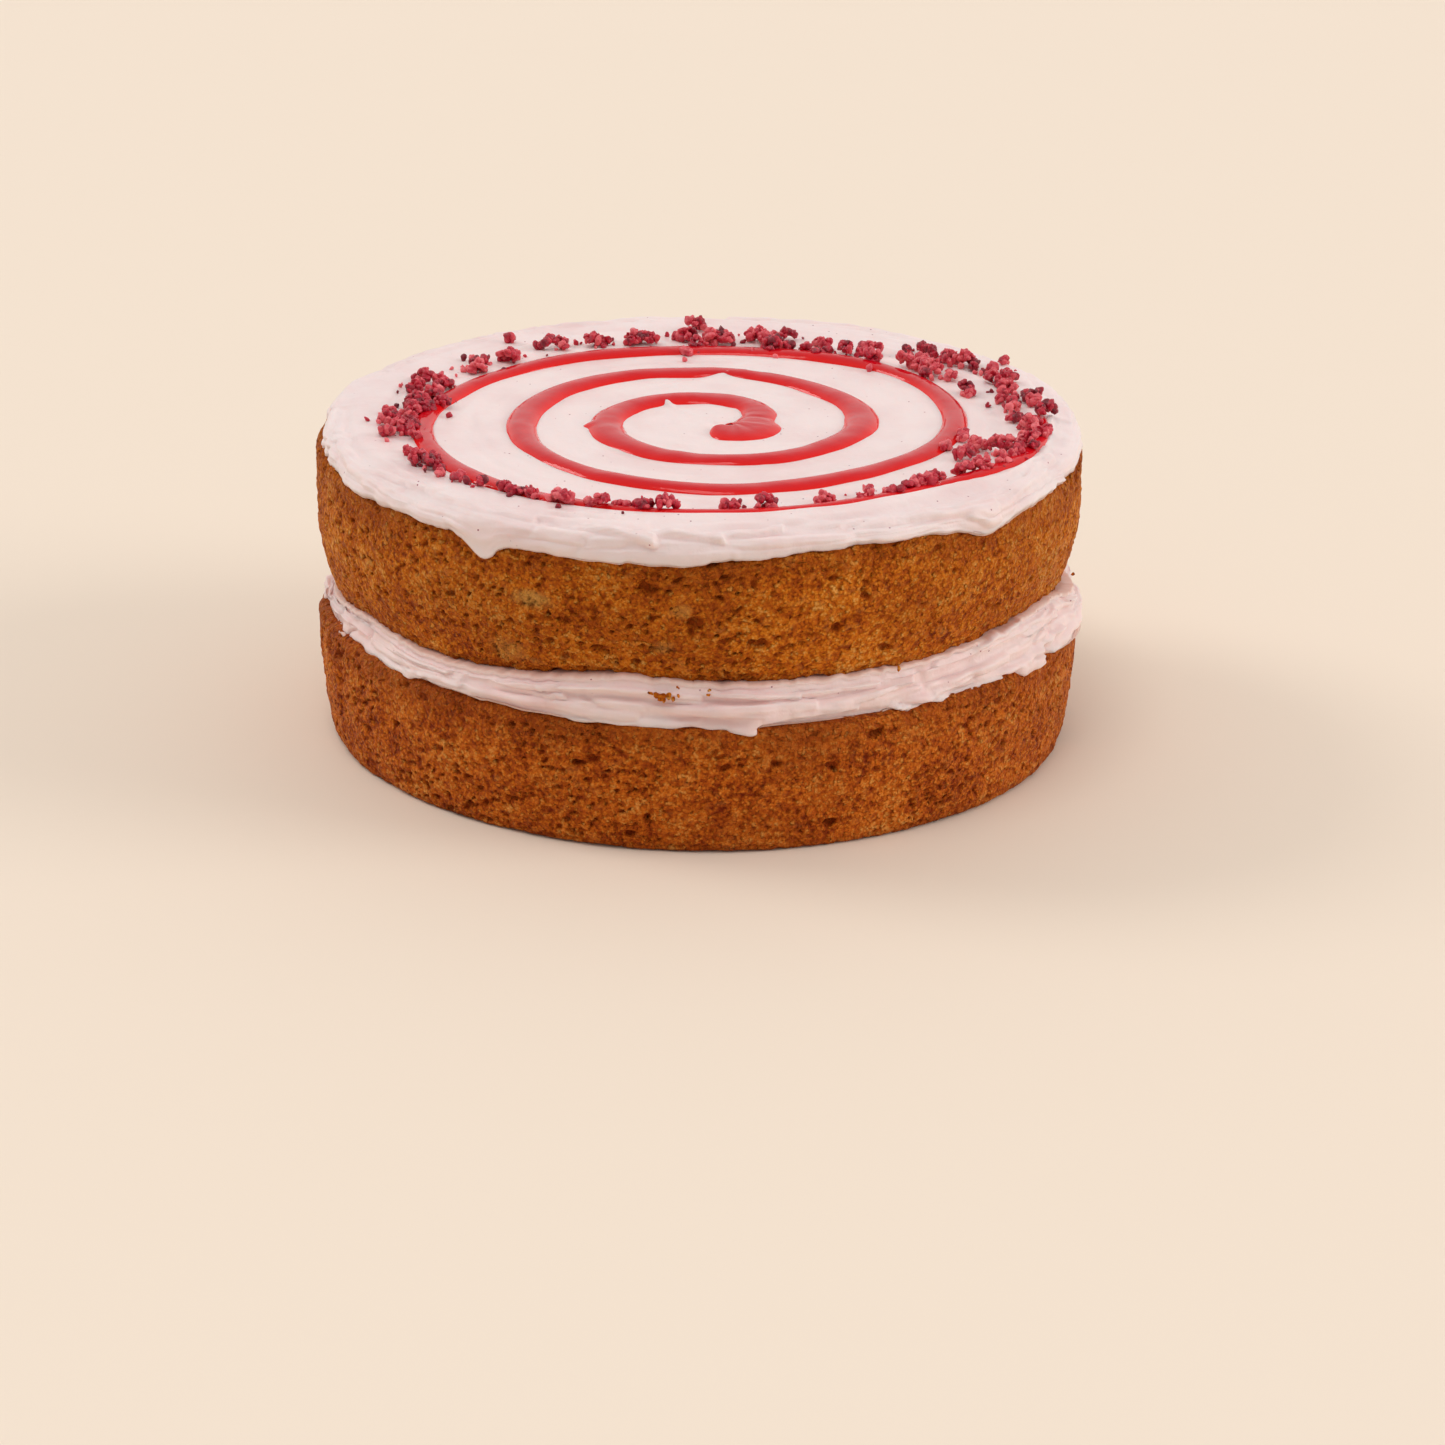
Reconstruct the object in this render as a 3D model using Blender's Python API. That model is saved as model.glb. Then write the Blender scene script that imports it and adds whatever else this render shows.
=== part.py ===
"""A round naked layer cake: two sponges, a cream filling, and an icing with a jam spiral and raspberry crumbs.

Sizes in the tables are millimetres and degrees. Angles run counter-clockwise from +X, seen from above, and
-Y is the front. The origin is the middle of the foot, on the surface that the cake stands on.
"""

import math
import random

import bmesh
import bpy
from mathutils import Matrix, Vector, noise

MM = 0.001

# Heights of the layers at the axis.
LOWER_TOP = 33.0
UPPER_FOOT = 42.4
UPPER_TOP = 76.0
ICING_TOP = 79.5
GAP = 0.3

# Sponge radii, at the foot and at the widest level, with how far up that level is.
LOWER_RADII = (93.6, 96.3, 26.0)
UPPER_RADII = (91.6, 96.4, 22.0)
FOOT_FILLET = 1.6
SHOULDER_FILLET = 3.0
SPONGE_WAVES = ((2, 0.35, 40), (3, 0.45, 200), (5, 0.25, 110))
SPONGE_CRAG = 0.45
SPONGE_CRAG_SIZE = 11.0
SPONGE_SEGMENTS = 60
SPONGE_SIDE_LEVELS = 4
UNDERSIDE_RADII = (45.0, 60.0, 74.0, 87.0)

# Rows of (angle, spread, height): soft bumps added round the cake.
UPPER_FOOT_BUMPS = ((186, 15, -6.2), (226, 20, -3.2), (258, 9, 1.6), (330, 14, 1.8), (354, 9, -2.0), (75, 24, -1.6),
                    (128, 18, -2.6))
UPPER_TOP_BUMPS = ((310, 34, 1.0), (120, 40, -0.7))
ICING_LOW_BUMPS = ((186, 14, 0.8), (217, 8, 0.2), (231, 5, -0.4), (238, 3.2, -4.0), (250, 10, -1.5),
                   (266, 9, -1.1), (290, 8, 0.9), (304, 6, 0.7), (314.5, 2.9, -1.8), (333, 10, 1.1), (352, 8, 0.5),
                   (24, 7, -0.8), (61, 6, -1.9), (98, 5, -2.8), (140, 7, -1.4), (163, 5, -0.9))
ICING_FACE_BUMPS = ((186, 15, -2.4), (238, 4, 0.7), (261, 6, 0.9), (274, 3, 0.9), (290, 6, -0.7), (315, 4, 1.7),
                    (331, 9, -0.8), (352, 9, 0.7), (61, 9, 0.9), (98, 8, 1.1), (140, 9, 0.8))
CREST_BUMPS = ((272, 44, 1.1), (322, 16, 0.4), (205, 20, 0.4), (95, 60, -0.5))
FILLING_FACE_BUMPS = ((188, 10, 0.6), (214, 12, -0.6), (247, 14, 1.2), (277, 6, 1.4), (296, 8, 0.4), (329, 12, 1.3),
                      (349, 9, 1.4), (20, 16, 0.9), (64, 14, -0.5), (101, 12, 1.1), (147, 14, 0.6))

DRAPE_GAP = 0.5
ICING_LOW = 75.2
ICING_FACE_RADIUS = 95.6
ICING_EDGE_TOP = 78.7
CREST_RADIUS = 83.5
CREST_RISE = 0.8
LIP = 1.1
ICING_FOLD = 0.6
ICING_FOLD_SIZE = 9.0
ICING_SEGMENTS = 120
HUB_RADIUS = 66.0
HUB_EVERY = 6
FILLING_FACE_RADIUS = 94.0

# The jam spiral opens from a blob near the middle. Turns are degrees travelled from the +X direction.
SPIRAL_CENTRE = (3.7, -4.1)
SPIRAL_START = 13.4
SPIRAL_PER_DEGREE = 0.065
# Rows of (turn, spread, distance): where the hand wandered off the even spiral.
SPIRAL_WANDER = ((-95, 18, -3.0), (10, 38, -3.9), (175, 70, 2.3), (325, 30, -1.3), (405, 28, -1.0), (495, 30, 1.2),
                 (675, 32, -3.2), (765, 26, 1.6), (815, 30, -3.2), (865, 20, -1.2), (905, 26, 1.2), (1000, 40, -3.8),
                 (1028, 22, -4.7), (1092, 30, -1.8))
BLOB_TURN = -100
SPIRAL_END_TURN = 1094
JAM_HALF_WIDTHS = (4.6, 2.9)
BLOB_WIDENS = 3.6
BLOB_MIDDLE_TURN = -38
BLOB_SPREAD = 36
JAM_RISE = 1.5
JAM_SINK = 0.7
JAM_STEP = 17

# Runs of raspberry crumbs round their ring's middle: from angle, to angle, inner radius, outer radius, how many.
RING_CENTRE = (0.5, -1.0)
CRUMB_RUNS = (
    (0, 3, 85, 87, 1), (3, 12, 77, 80, 3), (8, 13, 82, 85, 3), (12, 22, 78, 84, 6), (20, 36, 80, 86, 8),
    (14, 24, 71, 74, 2), (28, 34, 67, 77, 3), (34, 42, 69, 78, 4), (36, 48, 78, 87, 6), (48, 50, 65, 67, 2),
    (53, 58, 68, 74, 4), (60, 68, 63, 73, 5), (70, 80, 63, 75, 10), (84, 89, 64, 72, 4), (91, 97, 62, 72, 4),
    (101, 108, 68, 71, 4), (111, 116, 69, 73, 4), (119, 127, 69, 75, 4), (134, 138, 69, 74, 3),
    (140, 149, 70, 78, 6), (157, 165, 70, 79, 8), (165, 180, 65, 74, 9), (179, 196, 72, 81, 14),
    (204, 216, 76, 81, 7), (216, 229, 78, 82, 6), (232, 240, 77, 81, 4), (243, 253, 77, 81, 4),
    (253, 262, 75, 79, 4), (275, 284, 74, 76, 3), (290, 297, 73, 75, 2), (299, 306, 74, 76, 3),
    (306, 320, 76, 78, 6), (322, 333, 79, 82, 4), (333, 349, 66, 72, 6), (335, 352, 78, 86, 10),
    (352, 360, 77, 84, 4),
)
LONE_CRUMBS = ((31.4, 92, 3.8), (128.4, 83.5, 3.8), (338, 64.5, 3.8), (95, 56, 3.4), (92, 79, 6.8), (282, 74.5, 7.6),
               (340, 78, 8.2), (264, 76, 7.0), (89, 70, 6.0))
CRUMB_SIZES = (3.4, 7.0)
CRUMBS_KEPT = 108
CRUMB_SEED = 11
CRUMB_SUNK = 0.16
CRUMB_ROUGH = 0.22

COLOURS = {
    "sponge": ((0.45, 0.17, 0.03), 0.85),
    "cream": ((0.86, 0.72, 0.71), 0.45),
    "icing": ((0.88, 0.75, 0.74), 0.45),
}


def bumps(rows, angle):
    """The sum of soft bumps at this angle, which goes round."""
    total = 0.0
    for middle, spread, height in rows:
        away = (angle - middle + 180) % 360 - 180
        total += height * math.exp(-((away / spread) ** 2))
    return total


def ease(share):
    """A smooth step from 0 to 1."""
    share = min(max(share, 0.0), 1.0)
    return share * share * (3 - 2 * share)


def point(radius, angle, z):
    """A point in metres from millimetres and degrees."""
    turn = math.radians(angle)
    return Vector((radius * math.cos(turn), radius * math.sin(turn), z)) * MM


def lower_top(angle):
    return LOWER_TOP + 0.4 * math.cos(math.radians(3 * angle + 50))


def upper_foot(angle, radius):
    """The underside of the upper sponge, level in the middle and uneven towards its rim."""
    middle, rim = UNDERSIDE_RADII[0], UNDERSIDE_RADII[-1]
    return UPPER_FOOT + bumps(UPPER_FOOT_BUMPS, angle) * ease((radius - middle) / (rim - middle))


def upper_top(angle):
    return UPPER_TOP + bumps(UPPER_TOP_BUMPS, angle)


def side_radius(radii, angle, rise):
    """A sponge's radius at a height above its foot: tapered as the tin is, and a little out of round."""
    at_foot, widest, level = radii
    radius = at_foot + (widest - at_foot) * math.sin(min(rise / level, 1.0) * math.pi / 2)
    for count, depth, phase in SPONGE_WAVES:
        radius += depth * math.cos(math.radians(count * angle + phase))
    return radius


def crag(angle, z):
    """Low unevenness of a sponge's side."""
    at = point(100, angle, z) / MM / SPONGE_CRAG_SIZE
    return SPONGE_CRAG * noise.noise(at)


def sponge_outline(radii, angle, underside, foot, top):
    """A sponge's outline at this angle, outward and up. foot gives its height at each of the underside's radii."""
    base = foot(radii[0])
    height = top - base
    corner = side_radius(radii, angle, 0)
    outline = [(radius, foot(radius)) for radius in underside]
    outline.append((corner - FOOT_FILLET, base))
    outline.append((corner - 0.3 * FOOT_FILLET, base + 0.3 * FOOT_FILLET))
    low, high = FOOT_FILLET, height - SHOULDER_FILLET
    for level in range(SPONGE_SIDE_LEVELS):
        rise = low + (high - low) * level / (SPONGE_SIDE_LEVELS - 1)
        outline.append((side_radius(radii, angle, rise) + crag(angle, base + rise), base + rise))
    shoulder = outline[-1][0] - SHOULDER_FILLET
    for lean in (35, 65, 90):
        turn = math.radians(lean)
        outline.append((shoulder + SHOULDER_FILLET * math.cos(turn), top + SHOULDER_FILLET * (math.sin(turn) - 1)))
    outline.append((0.5 * shoulder, top))
    return outline


def lower_sponge_outline(angle):
    return sponge_outline(LOWER_RADII, angle, UNDERSIDE_RADII[:1], lambda radius: 0.0, lower_top(angle))


def upper_sponge_outline(angle):
    def foot(radius):
        return upper_foot(angle, radius)

    return sponge_outline(UPPER_RADII, angle, UNDERSIDE_RADII, foot, upper_top(angle))


def filling_outline(angle):
    """The filling fills the space between the sponges and swells past them a little."""
    face = FILLING_FACE_RADIUS + bumps(FILLING_FACE_BUMPS, angle)
    under = lower_top(angle) + GAP

    def over(radius):
        return upper_foot(angle, radius) - GAP

    rim = UNDERSIDE_RADII[-1]
    thick = over(rim) - under
    outline = [
        (0.5 * rim, under), (rim, under), (face - 0.9, under), (face, under + 0.3 * thick),
        (face - 0.2, under + 0.62 * thick), (face - 1.3, over(rim) - 0.12 * thick),
    ]
    return outline + [(radius, over(radius)) for radius in reversed(UNDERSIDE_RADII)]


def over_shoulder(angle, length):
    """A point at this length from where the upper sponge's shoulder starts, clear of the sponge."""
    top = upper_top(angle)
    foot = upper_foot(angle, UPPER_RADII[0])
    side = side_radius(UPPER_RADII, angle, top - SHOULDER_FILLET - foot) + crag(angle, top - SHOULDER_FILLET)
    reach = SHOULDER_FILLET + DRAPE_GAP
    lean = length / reach
    if lean <= math.pi / 2:
        return side - SHOULDER_FILLET + reach * math.sin(lean), top - SHOULDER_FILLET + reach * math.cos(lean)
    return side + DRAPE_GAP + 0.2, top - SHOULDER_FILLET - (length - reach * math.pi / 2)


def icing_outline(angle):
    """The icing's outline: under it, over the sponge's shoulder, up its face and across the top."""
    top = upper_top(angle)
    low = ICING_LOW + bumps(ICING_LOW_BUMPS, angle)
    fold = ICING_FOLD * noise.noise(point(90, angle, 0) / MM / ICING_FOLD_SIZE)
    drape = max(top - low, 0.35)
    reach = SHOULDER_FILLET + DRAPE_GAP
    if drape < SHOULDER_FILLET:
        length = reach * math.acos(1 - drape / SHOULDER_FILLET)
    else:
        length = reach * math.pi / 2 + drape - SHOULDER_FILLET
    under = [over_shoulder(angle, length * share) for share in (0.0, 0.4, 0.75, 1.0)]
    end_radius, end_z = under[-1]
    face = max(ICING_FACE_RADIUS + bumps(ICING_FACE_BUMPS, angle) + fold, end_radius + 0.5)
    edge = ICING_EDGE_TOP + 0.4 * bumps(CREST_BUMPS, angle) - fold
    crest = ICING_TOP + CREST_RISE + bumps(CREST_BUMPS, angle)
    outline = [(0.6 * under[0][0], top + GAP), *under]
    outline += [
        (end_radius + 0.6 * LIP, end_z - 0.25),
        (max(face, end_radius + LIP), end_z + 0.8),
        (face, 0.5 * (end_z + edge) + 0.4),
        (face - 0.5, edge - 0.3),
        (face - 2.2, edge + 0.35),
        (CREST_RADIUS, crest),
        (CREST_RADIUS - 4, 0.55 * crest + 0.45 * ICING_TOP),
        (CREST_RADIUS - 8, ICING_TOP),
    ]
    return outline


def turned(name, outline, segments, hub_radius=None):
    """A closed solid of one outline for each angle, as a mesh object. A hub keeps a flat top to a few faces."""
    shape = bmesh.new()
    profiles = [outline(360 * step / segments) for step in range(segments)]
    foot = shape.verts.new((0, 0, profiles[0][0][1] * MM))
    top = shape.verts.new((0, 0, profiles[0][-1][1] * MM))
    columns = []
    for step, profile in enumerate(profiles):
        angle = 360 * step / segments
        columns.append([shape.verts.new(point(radius, angle, z)) for radius, z in profile])
    for here, there in zip(columns, columns[1:] + columns[:1]):
        shape.faces.new((foot, there[0], here[0]))
        for low, high, over_low, over_high in zip(here, here[1:], there, there[1:]):
            # Each face splits from its inner corner here to its outer corner there, so facing layers match.
            if low.co.xy.length < high.co.xy.length:
                shape.faces.new((low, over_low, over_high))
                shape.faces.new((low, over_high, high))
            else:
                shape.faces.new((low, over_low, high))
                shape.faces.new((over_low, over_high, high))
        if not hub_radius:
            shape.faces.new((top, here[-1], there[-1]))
    if hub_radius:
        spokes = [shape.verts.new(point(hub_radius, 360 * step / segments, profiles[0][-1][1]))
                  for step in range(0, segments, HUB_EVERY)]
        for number, spoke in enumerate(spokes):
            after = spokes[(number + 1) % len(spokes)]
            arc = [columns[(number * HUB_EVERY + step) % segments][-1] for step in range(HUB_EVERY + 1)]
            shape.faces.new((spoke, *arc, after))
            shape.faces.new((top, spoke, after))
    return finished(name, shape)


def finished(name, shape):
    """Links a bmesh as an object with its faces pointing out and its round sides smooth."""
    bmesh.ops.recalc_face_normals(shape, faces=shape.faces)
    mesh = bpy.data.meshes.new(name)
    shape.to_mesh(mesh)
    shape.free()
    mesh.shade_smooth()
    mesh.set_sharp_from_angle(angle=math.radians(50))
    made = bpy.data.objects.new(name, mesh)
    bpy.context.scene.collection.objects.link(made)
    return made


def spiral_point(turn):
    """(x, y) of the jam's middle line after this many degrees."""
    radius = SPIRAL_START + SPIRAL_PER_DEGREE * turn
    for middle, spread, distance in SPIRAL_WANDER:
        radius += distance * math.exp(-(((turn - middle) / spread) ** 2))
    x, y = SPIRAL_CENTRE
    lean = math.radians(turn)
    return Vector((x + radius * math.cos(lean), y + radius * math.sin(lean)))


def jam_half_width(turn):
    """Half the jam's width: a blob at the start, then a ribbon that narrows and tapers out at the end."""
    share = max(turn, 0) / SPIRAL_END_TURN
    width = JAM_HALF_WIDTHS[0] + (JAM_HALF_WIDTHS[1] - JAM_HALF_WIDTHS[0]) * share
    width += 0.35 * math.sin(math.radians(2.3 * turn)) * min(share * 8, 1)
    width += BLOB_WIDENS * math.exp(-(((turn - BLOB_MIDDLE_TURN) / BLOB_SPREAD) ** 2))
    width *= ease((turn - BLOB_TURN + 4) / 38)
    return max(width * ease((SPIRAL_END_TURN - turn + 8) / 40), 0.5)


def icing_height(radius, angle):
    """The top of the icing inside its crest."""
    crest = ICING_TOP + CREST_RISE + bumps(CREST_BUMPS, angle)
    inner, middle = CREST_RADIUS - 8, CREST_RADIUS - 4
    halfway = 0.55 * crest + 0.45 * ICING_TOP
    if radius < inner:
        return ICING_TOP
    if radius < middle:
        return ICING_TOP + (halfway - ICING_TOP) * (radius - inner) / (middle - inner)
    return halfway + (crest - halfway) * min((radius - middle) / (CREST_RADIUS - middle), 1)


def height_at(place):
    return icing_height(place.length, math.degrees(math.atan2(place.y, place.x)))


def jam_ribbon():
    """The jam as a low bead that is sunk a little into the icing along the spiral."""
    shape = bmesh.new()
    loops = []
    for turn in range(BLOB_TURN, SPIRAL_END_TURN + 1, JAM_STEP):
        middle = spiral_point(turn)
        along = (spiral_point(turn + 1) - spiral_point(turn - 1)).normalized()
        across = Vector((along.y, -along.x))
        half = jam_half_width(turn)
        rise = JAM_RISE * min(half / JAM_HALF_WIDTHS[1], 1)
        section = ((-1, -JAM_SINK), (-0.94, 0.3 * rise), (-0.45, rise), (0.45, rise), (0.94, 0.3 * rise),
                   (1, -JAM_SINK))
        loop = []
        for share, lift in section:
            place = middle + across * half * share
            loop.append(shape.verts.new(Vector((place.x, place.y, height_at(place) + lift)) * MM))
        loops.append(loop)
    for here, there in zip(loops, loops[1:]):
        for side in range(len(here)):
            after = (side + 1) % len(here)
            shape.faces.new((here[side], here[after], there[after], there[side]))
    shape.faces.new(loops[0])
    shape.faces.new(loops[-1])
    return finished("jam", shape)


def crumb_places():
    """(x, y, size) of the largest raspberry crumbs."""
    draw = random.Random(CRUMB_SEED)
    small, large = CRUMB_SIZES
    places = []
    for start, end, inner, outer, count in CRUMB_RUNS:
        for number in range(count):
            angle = start + (end - start) * (number + draw.uniform(0.1, 0.9)) / count
            radius = draw.uniform(inner, outer)
            places.append((angle, radius, small + (large - small) * draw.random() ** 1.3))
    places.extend(LONE_CRUMBS)
    largest = sorted(places, key=lambda place: -place[2])[:CRUMBS_KEPT]
    middle = Vector(RING_CENTRE)
    return [(middle + point(radius, angle, 0).xy / MM, size) for angle, radius, size in largest]


def crumb(number, place, size):
    """One crumb: a rough, lopsided lump that is pressed into the icing."""
    draw = random.Random(CRUMB_SEED * 1000 + number)
    shape = bmesh.new()
    bmesh.ops.create_icosphere(shape, subdivisions=1, radius=0.5 * size * MM)
    for vertex in shape.verts:
        vertex.co *= 1 + draw.uniform(-CRUMB_ROUGH, CRUMB_ROUGH)
    stretch = Vector((draw.uniform(0.85, 1.2), draw.uniform(0.75, 1.0), draw.uniform(0.7, 0.95)))
    bmesh.ops.scale(shape, vec=stretch, verts=shape.verts)
    turn = Matrix.Rotation(draw.uniform(0, 2 * math.pi), 3, "Z") @ Matrix.Rotation(draw.uniform(-0.5, 0.5), 3, "X")
    bmesh.ops.rotate(shape, matrix=turn, verts=shape.verts)
    z = height_at(place) + size * (0.45 - CRUMB_SUNK)
    bmesh.ops.translate(shape, vec=Vector((place.x, place.y, z)) * MM, verts=shape.verts)
    return finished(f"crumb_{number:03d}", shape)


def fuse(body, pieces):
    """Joins the pieces to the body by one Boolean union, applies it and removes them."""
    together = bpy.data.collections.new("pieces")
    bpy.context.scene.collection.children.link(together)
    for piece in pieces:
        bpy.context.scene.collection.objects.unlink(piece)
        together.objects.link(piece)
    join = body.modifiers.new("join", "BOOLEAN")
    join.operation = "UNION"
    join.operand_type = "COLLECTION"
    join.collection = together
    join.solver = "MANIFOLD"
    graph = bpy.context.evaluated_depsgraph_get()
    mesh = bpy.data.meshes.new_from_object(body.evaluated_get(graph))
    body.modifiers.clear()
    body.data = mesh
    for piece in pieces:
        bpy.data.objects.remove(piece)
    bpy.data.collections.remove(together)


def keep_largest(body):
    """Drops loose scraps, and the walls of hollows that the union sealed."""
    shape = bmesh.new()
    shape.from_mesh(body.data)
    left = set(shape.verts)
    groups = []
    while left:
        group, edge = set(), [next(iter(left))]
        while edge:
            vertex = edge.pop()
            if vertex in group:
                continue
            group.add(vertex)
            edge.extend(other for link in vertex.link_edges for other in [link.other_vert(vertex)])
        groups.append(group)
        left -= group
    largest = max(groups, key=len)
    bmesh.ops.delete(shape, geom=[vertex for vertex in shape.verts if vertex not in largest], context="VERTS")
    shape.to_mesh(body.data)
    shape.free()


def dress(body, name):
    """Gives the object a material with its colour and roughness."""
    colour, roughness = COLOURS[name]
    material = bpy.data.materials.get(name) or bpy.data.materials.new(name)
    material.use_nodes = True
    surface = material.node_tree.nodes["Principled BSDF"]
    surface.inputs["Base Color"].default_value = (*colour, 1)
    surface.inputs["Roughness"].default_value = roughness
    surface.inputs["Metallic"].default_value = 0
    body.data.materials.clear()
    body.data.materials.append(material)


def build():
    for thing in list(bpy.data.objects):
        bpy.data.objects.remove(thing)
    dress(turned("sponge_lower", lower_sponge_outline, SPONGE_SEGMENTS), "sponge")
    dress(turned("filling", filling_outline, SPONGE_SEGMENTS), "cream")
    dress(turned("sponge_upper", upper_sponge_outline, SPONGE_SEGMENTS), "sponge")
    icing = turned("icing", icing_outline, ICING_SEGMENTS, HUB_RADIUS)
    toppings = [jam_ribbon()]
    toppings += [crumb(number, *place) for number, place in enumerate(crumb_places())]
    fuse(icing, toppings)
    keep_largest(icing)
    dress(icing, "icing")


build()
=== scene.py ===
"""Dresses the naked cake: craggy sponges, knife-swept cream, a glossy jam spiral and raspberry pieces.

Lengths are millimetres and angles are degrees, counter-clockwise from +X seen from above, until a mesh
is made. The front of the cake is -Y, and the origin is the middle of its foot.
"""

import logging
import math
import random
from dataclasses import dataclass
from enum import Enum
from typing import Callable, Sequence

import bmesh
import bpy
import numpy as np
from mathutils import Matrix, Vector


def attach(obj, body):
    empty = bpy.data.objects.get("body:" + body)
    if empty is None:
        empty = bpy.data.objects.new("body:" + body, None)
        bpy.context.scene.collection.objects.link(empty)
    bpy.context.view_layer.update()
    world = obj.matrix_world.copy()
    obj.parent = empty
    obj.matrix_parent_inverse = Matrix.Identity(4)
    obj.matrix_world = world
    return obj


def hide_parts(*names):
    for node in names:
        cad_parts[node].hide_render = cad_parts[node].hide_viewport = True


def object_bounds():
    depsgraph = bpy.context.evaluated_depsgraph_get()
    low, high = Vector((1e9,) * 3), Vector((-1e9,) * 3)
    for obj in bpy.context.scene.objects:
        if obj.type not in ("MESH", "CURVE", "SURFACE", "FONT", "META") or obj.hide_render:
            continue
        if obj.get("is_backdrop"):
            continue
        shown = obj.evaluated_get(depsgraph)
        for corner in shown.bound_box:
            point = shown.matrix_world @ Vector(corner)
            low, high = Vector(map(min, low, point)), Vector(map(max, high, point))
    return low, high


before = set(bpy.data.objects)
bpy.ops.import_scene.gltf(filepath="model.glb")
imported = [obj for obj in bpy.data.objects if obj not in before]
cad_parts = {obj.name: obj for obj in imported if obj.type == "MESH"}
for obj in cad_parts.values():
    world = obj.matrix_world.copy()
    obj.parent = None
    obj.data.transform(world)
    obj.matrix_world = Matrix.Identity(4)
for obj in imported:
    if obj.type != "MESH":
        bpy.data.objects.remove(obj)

LOG = logging.getLogger("naked_cake")
MM = 0.001
BODY = "root"

Rows = Sequence[tuple[float, float, float]]
Colour = tuple[float, float, float]
Place = tuple[float, float, float]
Grain = tuple[float, float, float, float, float]  # x, y, height, size and tone
Socket = bpy.types.NodeSocket
Array = np.ndarray

LOWER_TOP = 33.0
UPPER_FOOT = 42.4
UPPER_TOP = 76.0
ICING_TOP = 79.5
FOOT_FILLET = 1.6
SHOULDER_FILLET = 3.0
LOWER_RADII = (93.6, 96.3, 26.0)
UPPER_RADII = (91.6, 96.4, 22.0)
SPONGE_WAVES = ((2, 0.35, 40), (3, 0.45, 200), (5, 0.25, 110))
# How far out the upper sponge's underside is level, and the rim where its bumps are at their full height.
UNDERSIDE_FLAT = 45.0
UNDERSIDE_RIM = 87.0

# Rows of (angle, spread, height): soft bumps round the cake.
UPPER_FOOT_BUMPS: Rows = ((186, 15, -6.2), (226, 20, -3.2), (258, 9, 1.6), (330, 14, 1.8), (354, 9, -2.0),
                          (75, 24, -1.6), (128, 18, -2.6))
UPPER_TOP_BUMPS: Rows = ((310, 34, 1.0), (120, 40, -0.7))
ICING_LOW_BUMPS: Rows = ((186, 14, 0.8), (217, 8, 0.2), (231, 5, -0.4), (238, 3.2, -4.0), (250, 10, -1.5),
                         (266, 9, -1.1), (290, 8, 0.9), (304, 6, 0.7), (314.5, 2.9, -1.8), (333, 10, 1.1),
                         (352, 8, 0.5), (24, 7, -0.8), (61, 6, -1.9), (98, 5, -2.8), (140, 7, -1.4),
                         (163, 5, -0.9))
ICING_FACE_BUMPS: Rows = ((186, 15, -2.4), (238, 4, 0.7), (261, 6, 0.9), (274, 3, 0.9), (290, 6, -0.7),
                          (315, 4, 1.7), (331, 9, -0.8), (352, 9, 0.7), (61, 9, 0.9), (98, 8, 1.1),
                          (140, 9, 0.8))
CREST_BUMPS: Rows = ((272, 44, 1.1), (322, 16, 0.4), (205, 20, 0.4), (95, 60, -0.5))
FILLING_FACE_BUMPS: Rows = ((188, 10, 0.6), (214, 12, -0.6), (247, 14, 1.2), (277, 6, 1.4), (296, 8, 0.4),
                            (329, 12, 1.3), (349, 9, 1.4), (20, 16, 0.9), (64, 14, -0.5), (101, 12, 1.1),
                            (147, 14, 0.6))
ICING_LOW = 75.2
ICING_FACE_RADIUS = 95.6
ICING_EDGE_TOP = 78.7
CREST_RADIUS = 83.5
CREST_RISE = 0.8
FILLING_FACE_RADIUS = 94.0

# About the radius of the sides, where patterns round the cake are read.
SIDE_RADIUS = 95.0
# How far a grain is drawn out or flattened along each of its axes, at the least and at the most.
GRAIN_STRETCHES = ((0.9, 1.45), (0.5, 1.0), (0.7, 1.1))
# The box of the solids, which cream stays inside, and over how long a way it is held back.
BOX_LOW = (-97.2, -97.7)
BOX_HIGH = (96.65, 96.65)
BOX_SOFTNESS = 0.6

SPIRAL_CENTRE = (3.7, -4.1)
SPIRAL_START = 13.4
SPIRAL_PER_DEGREE = 0.065
# Rows of (turn, spread, distance): where the hand wandered off the even spiral.
SPIRAL_WANDER: Rows = ((-95, 18, -3.0), (10, 38, -3.9), (175, 70, 2.3), (325, 30, -1.3), (405, 28, -1.0),
                       (495, 30, 1.2), (675, 32, -3.2), (765, 26, 1.6), (815, 30, -3.2), (865, 20, -1.2),
                       (905, 26, 1.2), (1000, 40, -3.8), (1028, 22, -4.7), (1092, 30, -1.8))
BLOB_TURN = -100.0
SPIRAL_END_TURN = 1094.0


def ease(share: Array | float) -> Array:
    """A smooth step from 0 to 1, held at its ends."""
    kept = np.clip(share, 0.0, 1.0)
    return kept * kept * (3 - 2 * kept)


def bumps(rows: Rows, angle: Array) -> Array:
    """Sums soft bumps that go round the cake.

    Args:
        rows: Angle, spread and height of each bump.
        angle: Where to read them.

    Returns:
        Their sum at each angle.
    """
    total = np.zeros_like(angle, dtype=float)
    for middle, spread, height in rows:
        away = (angle - middle + 180) % 360 - 180
        total += height * np.exp(-((away / spread) ** 2))
    return total


def ring_points(radius: Array | float, angle: Array, z: Array | float) -> Array:
    """Turns cylinder coordinates into points.

    Args:
        radius: Distances from the axis.
        angle: Angles in degrees.
        z: Heights.

    Returns:
        An array whose last axis is x, y and z.
    """
    turn = np.radians(angle)
    flat = np.broadcast_arrays(radius * np.cos(turn), radius * np.sin(turn), z)
    return np.stack(flat, axis=-1)


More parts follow.
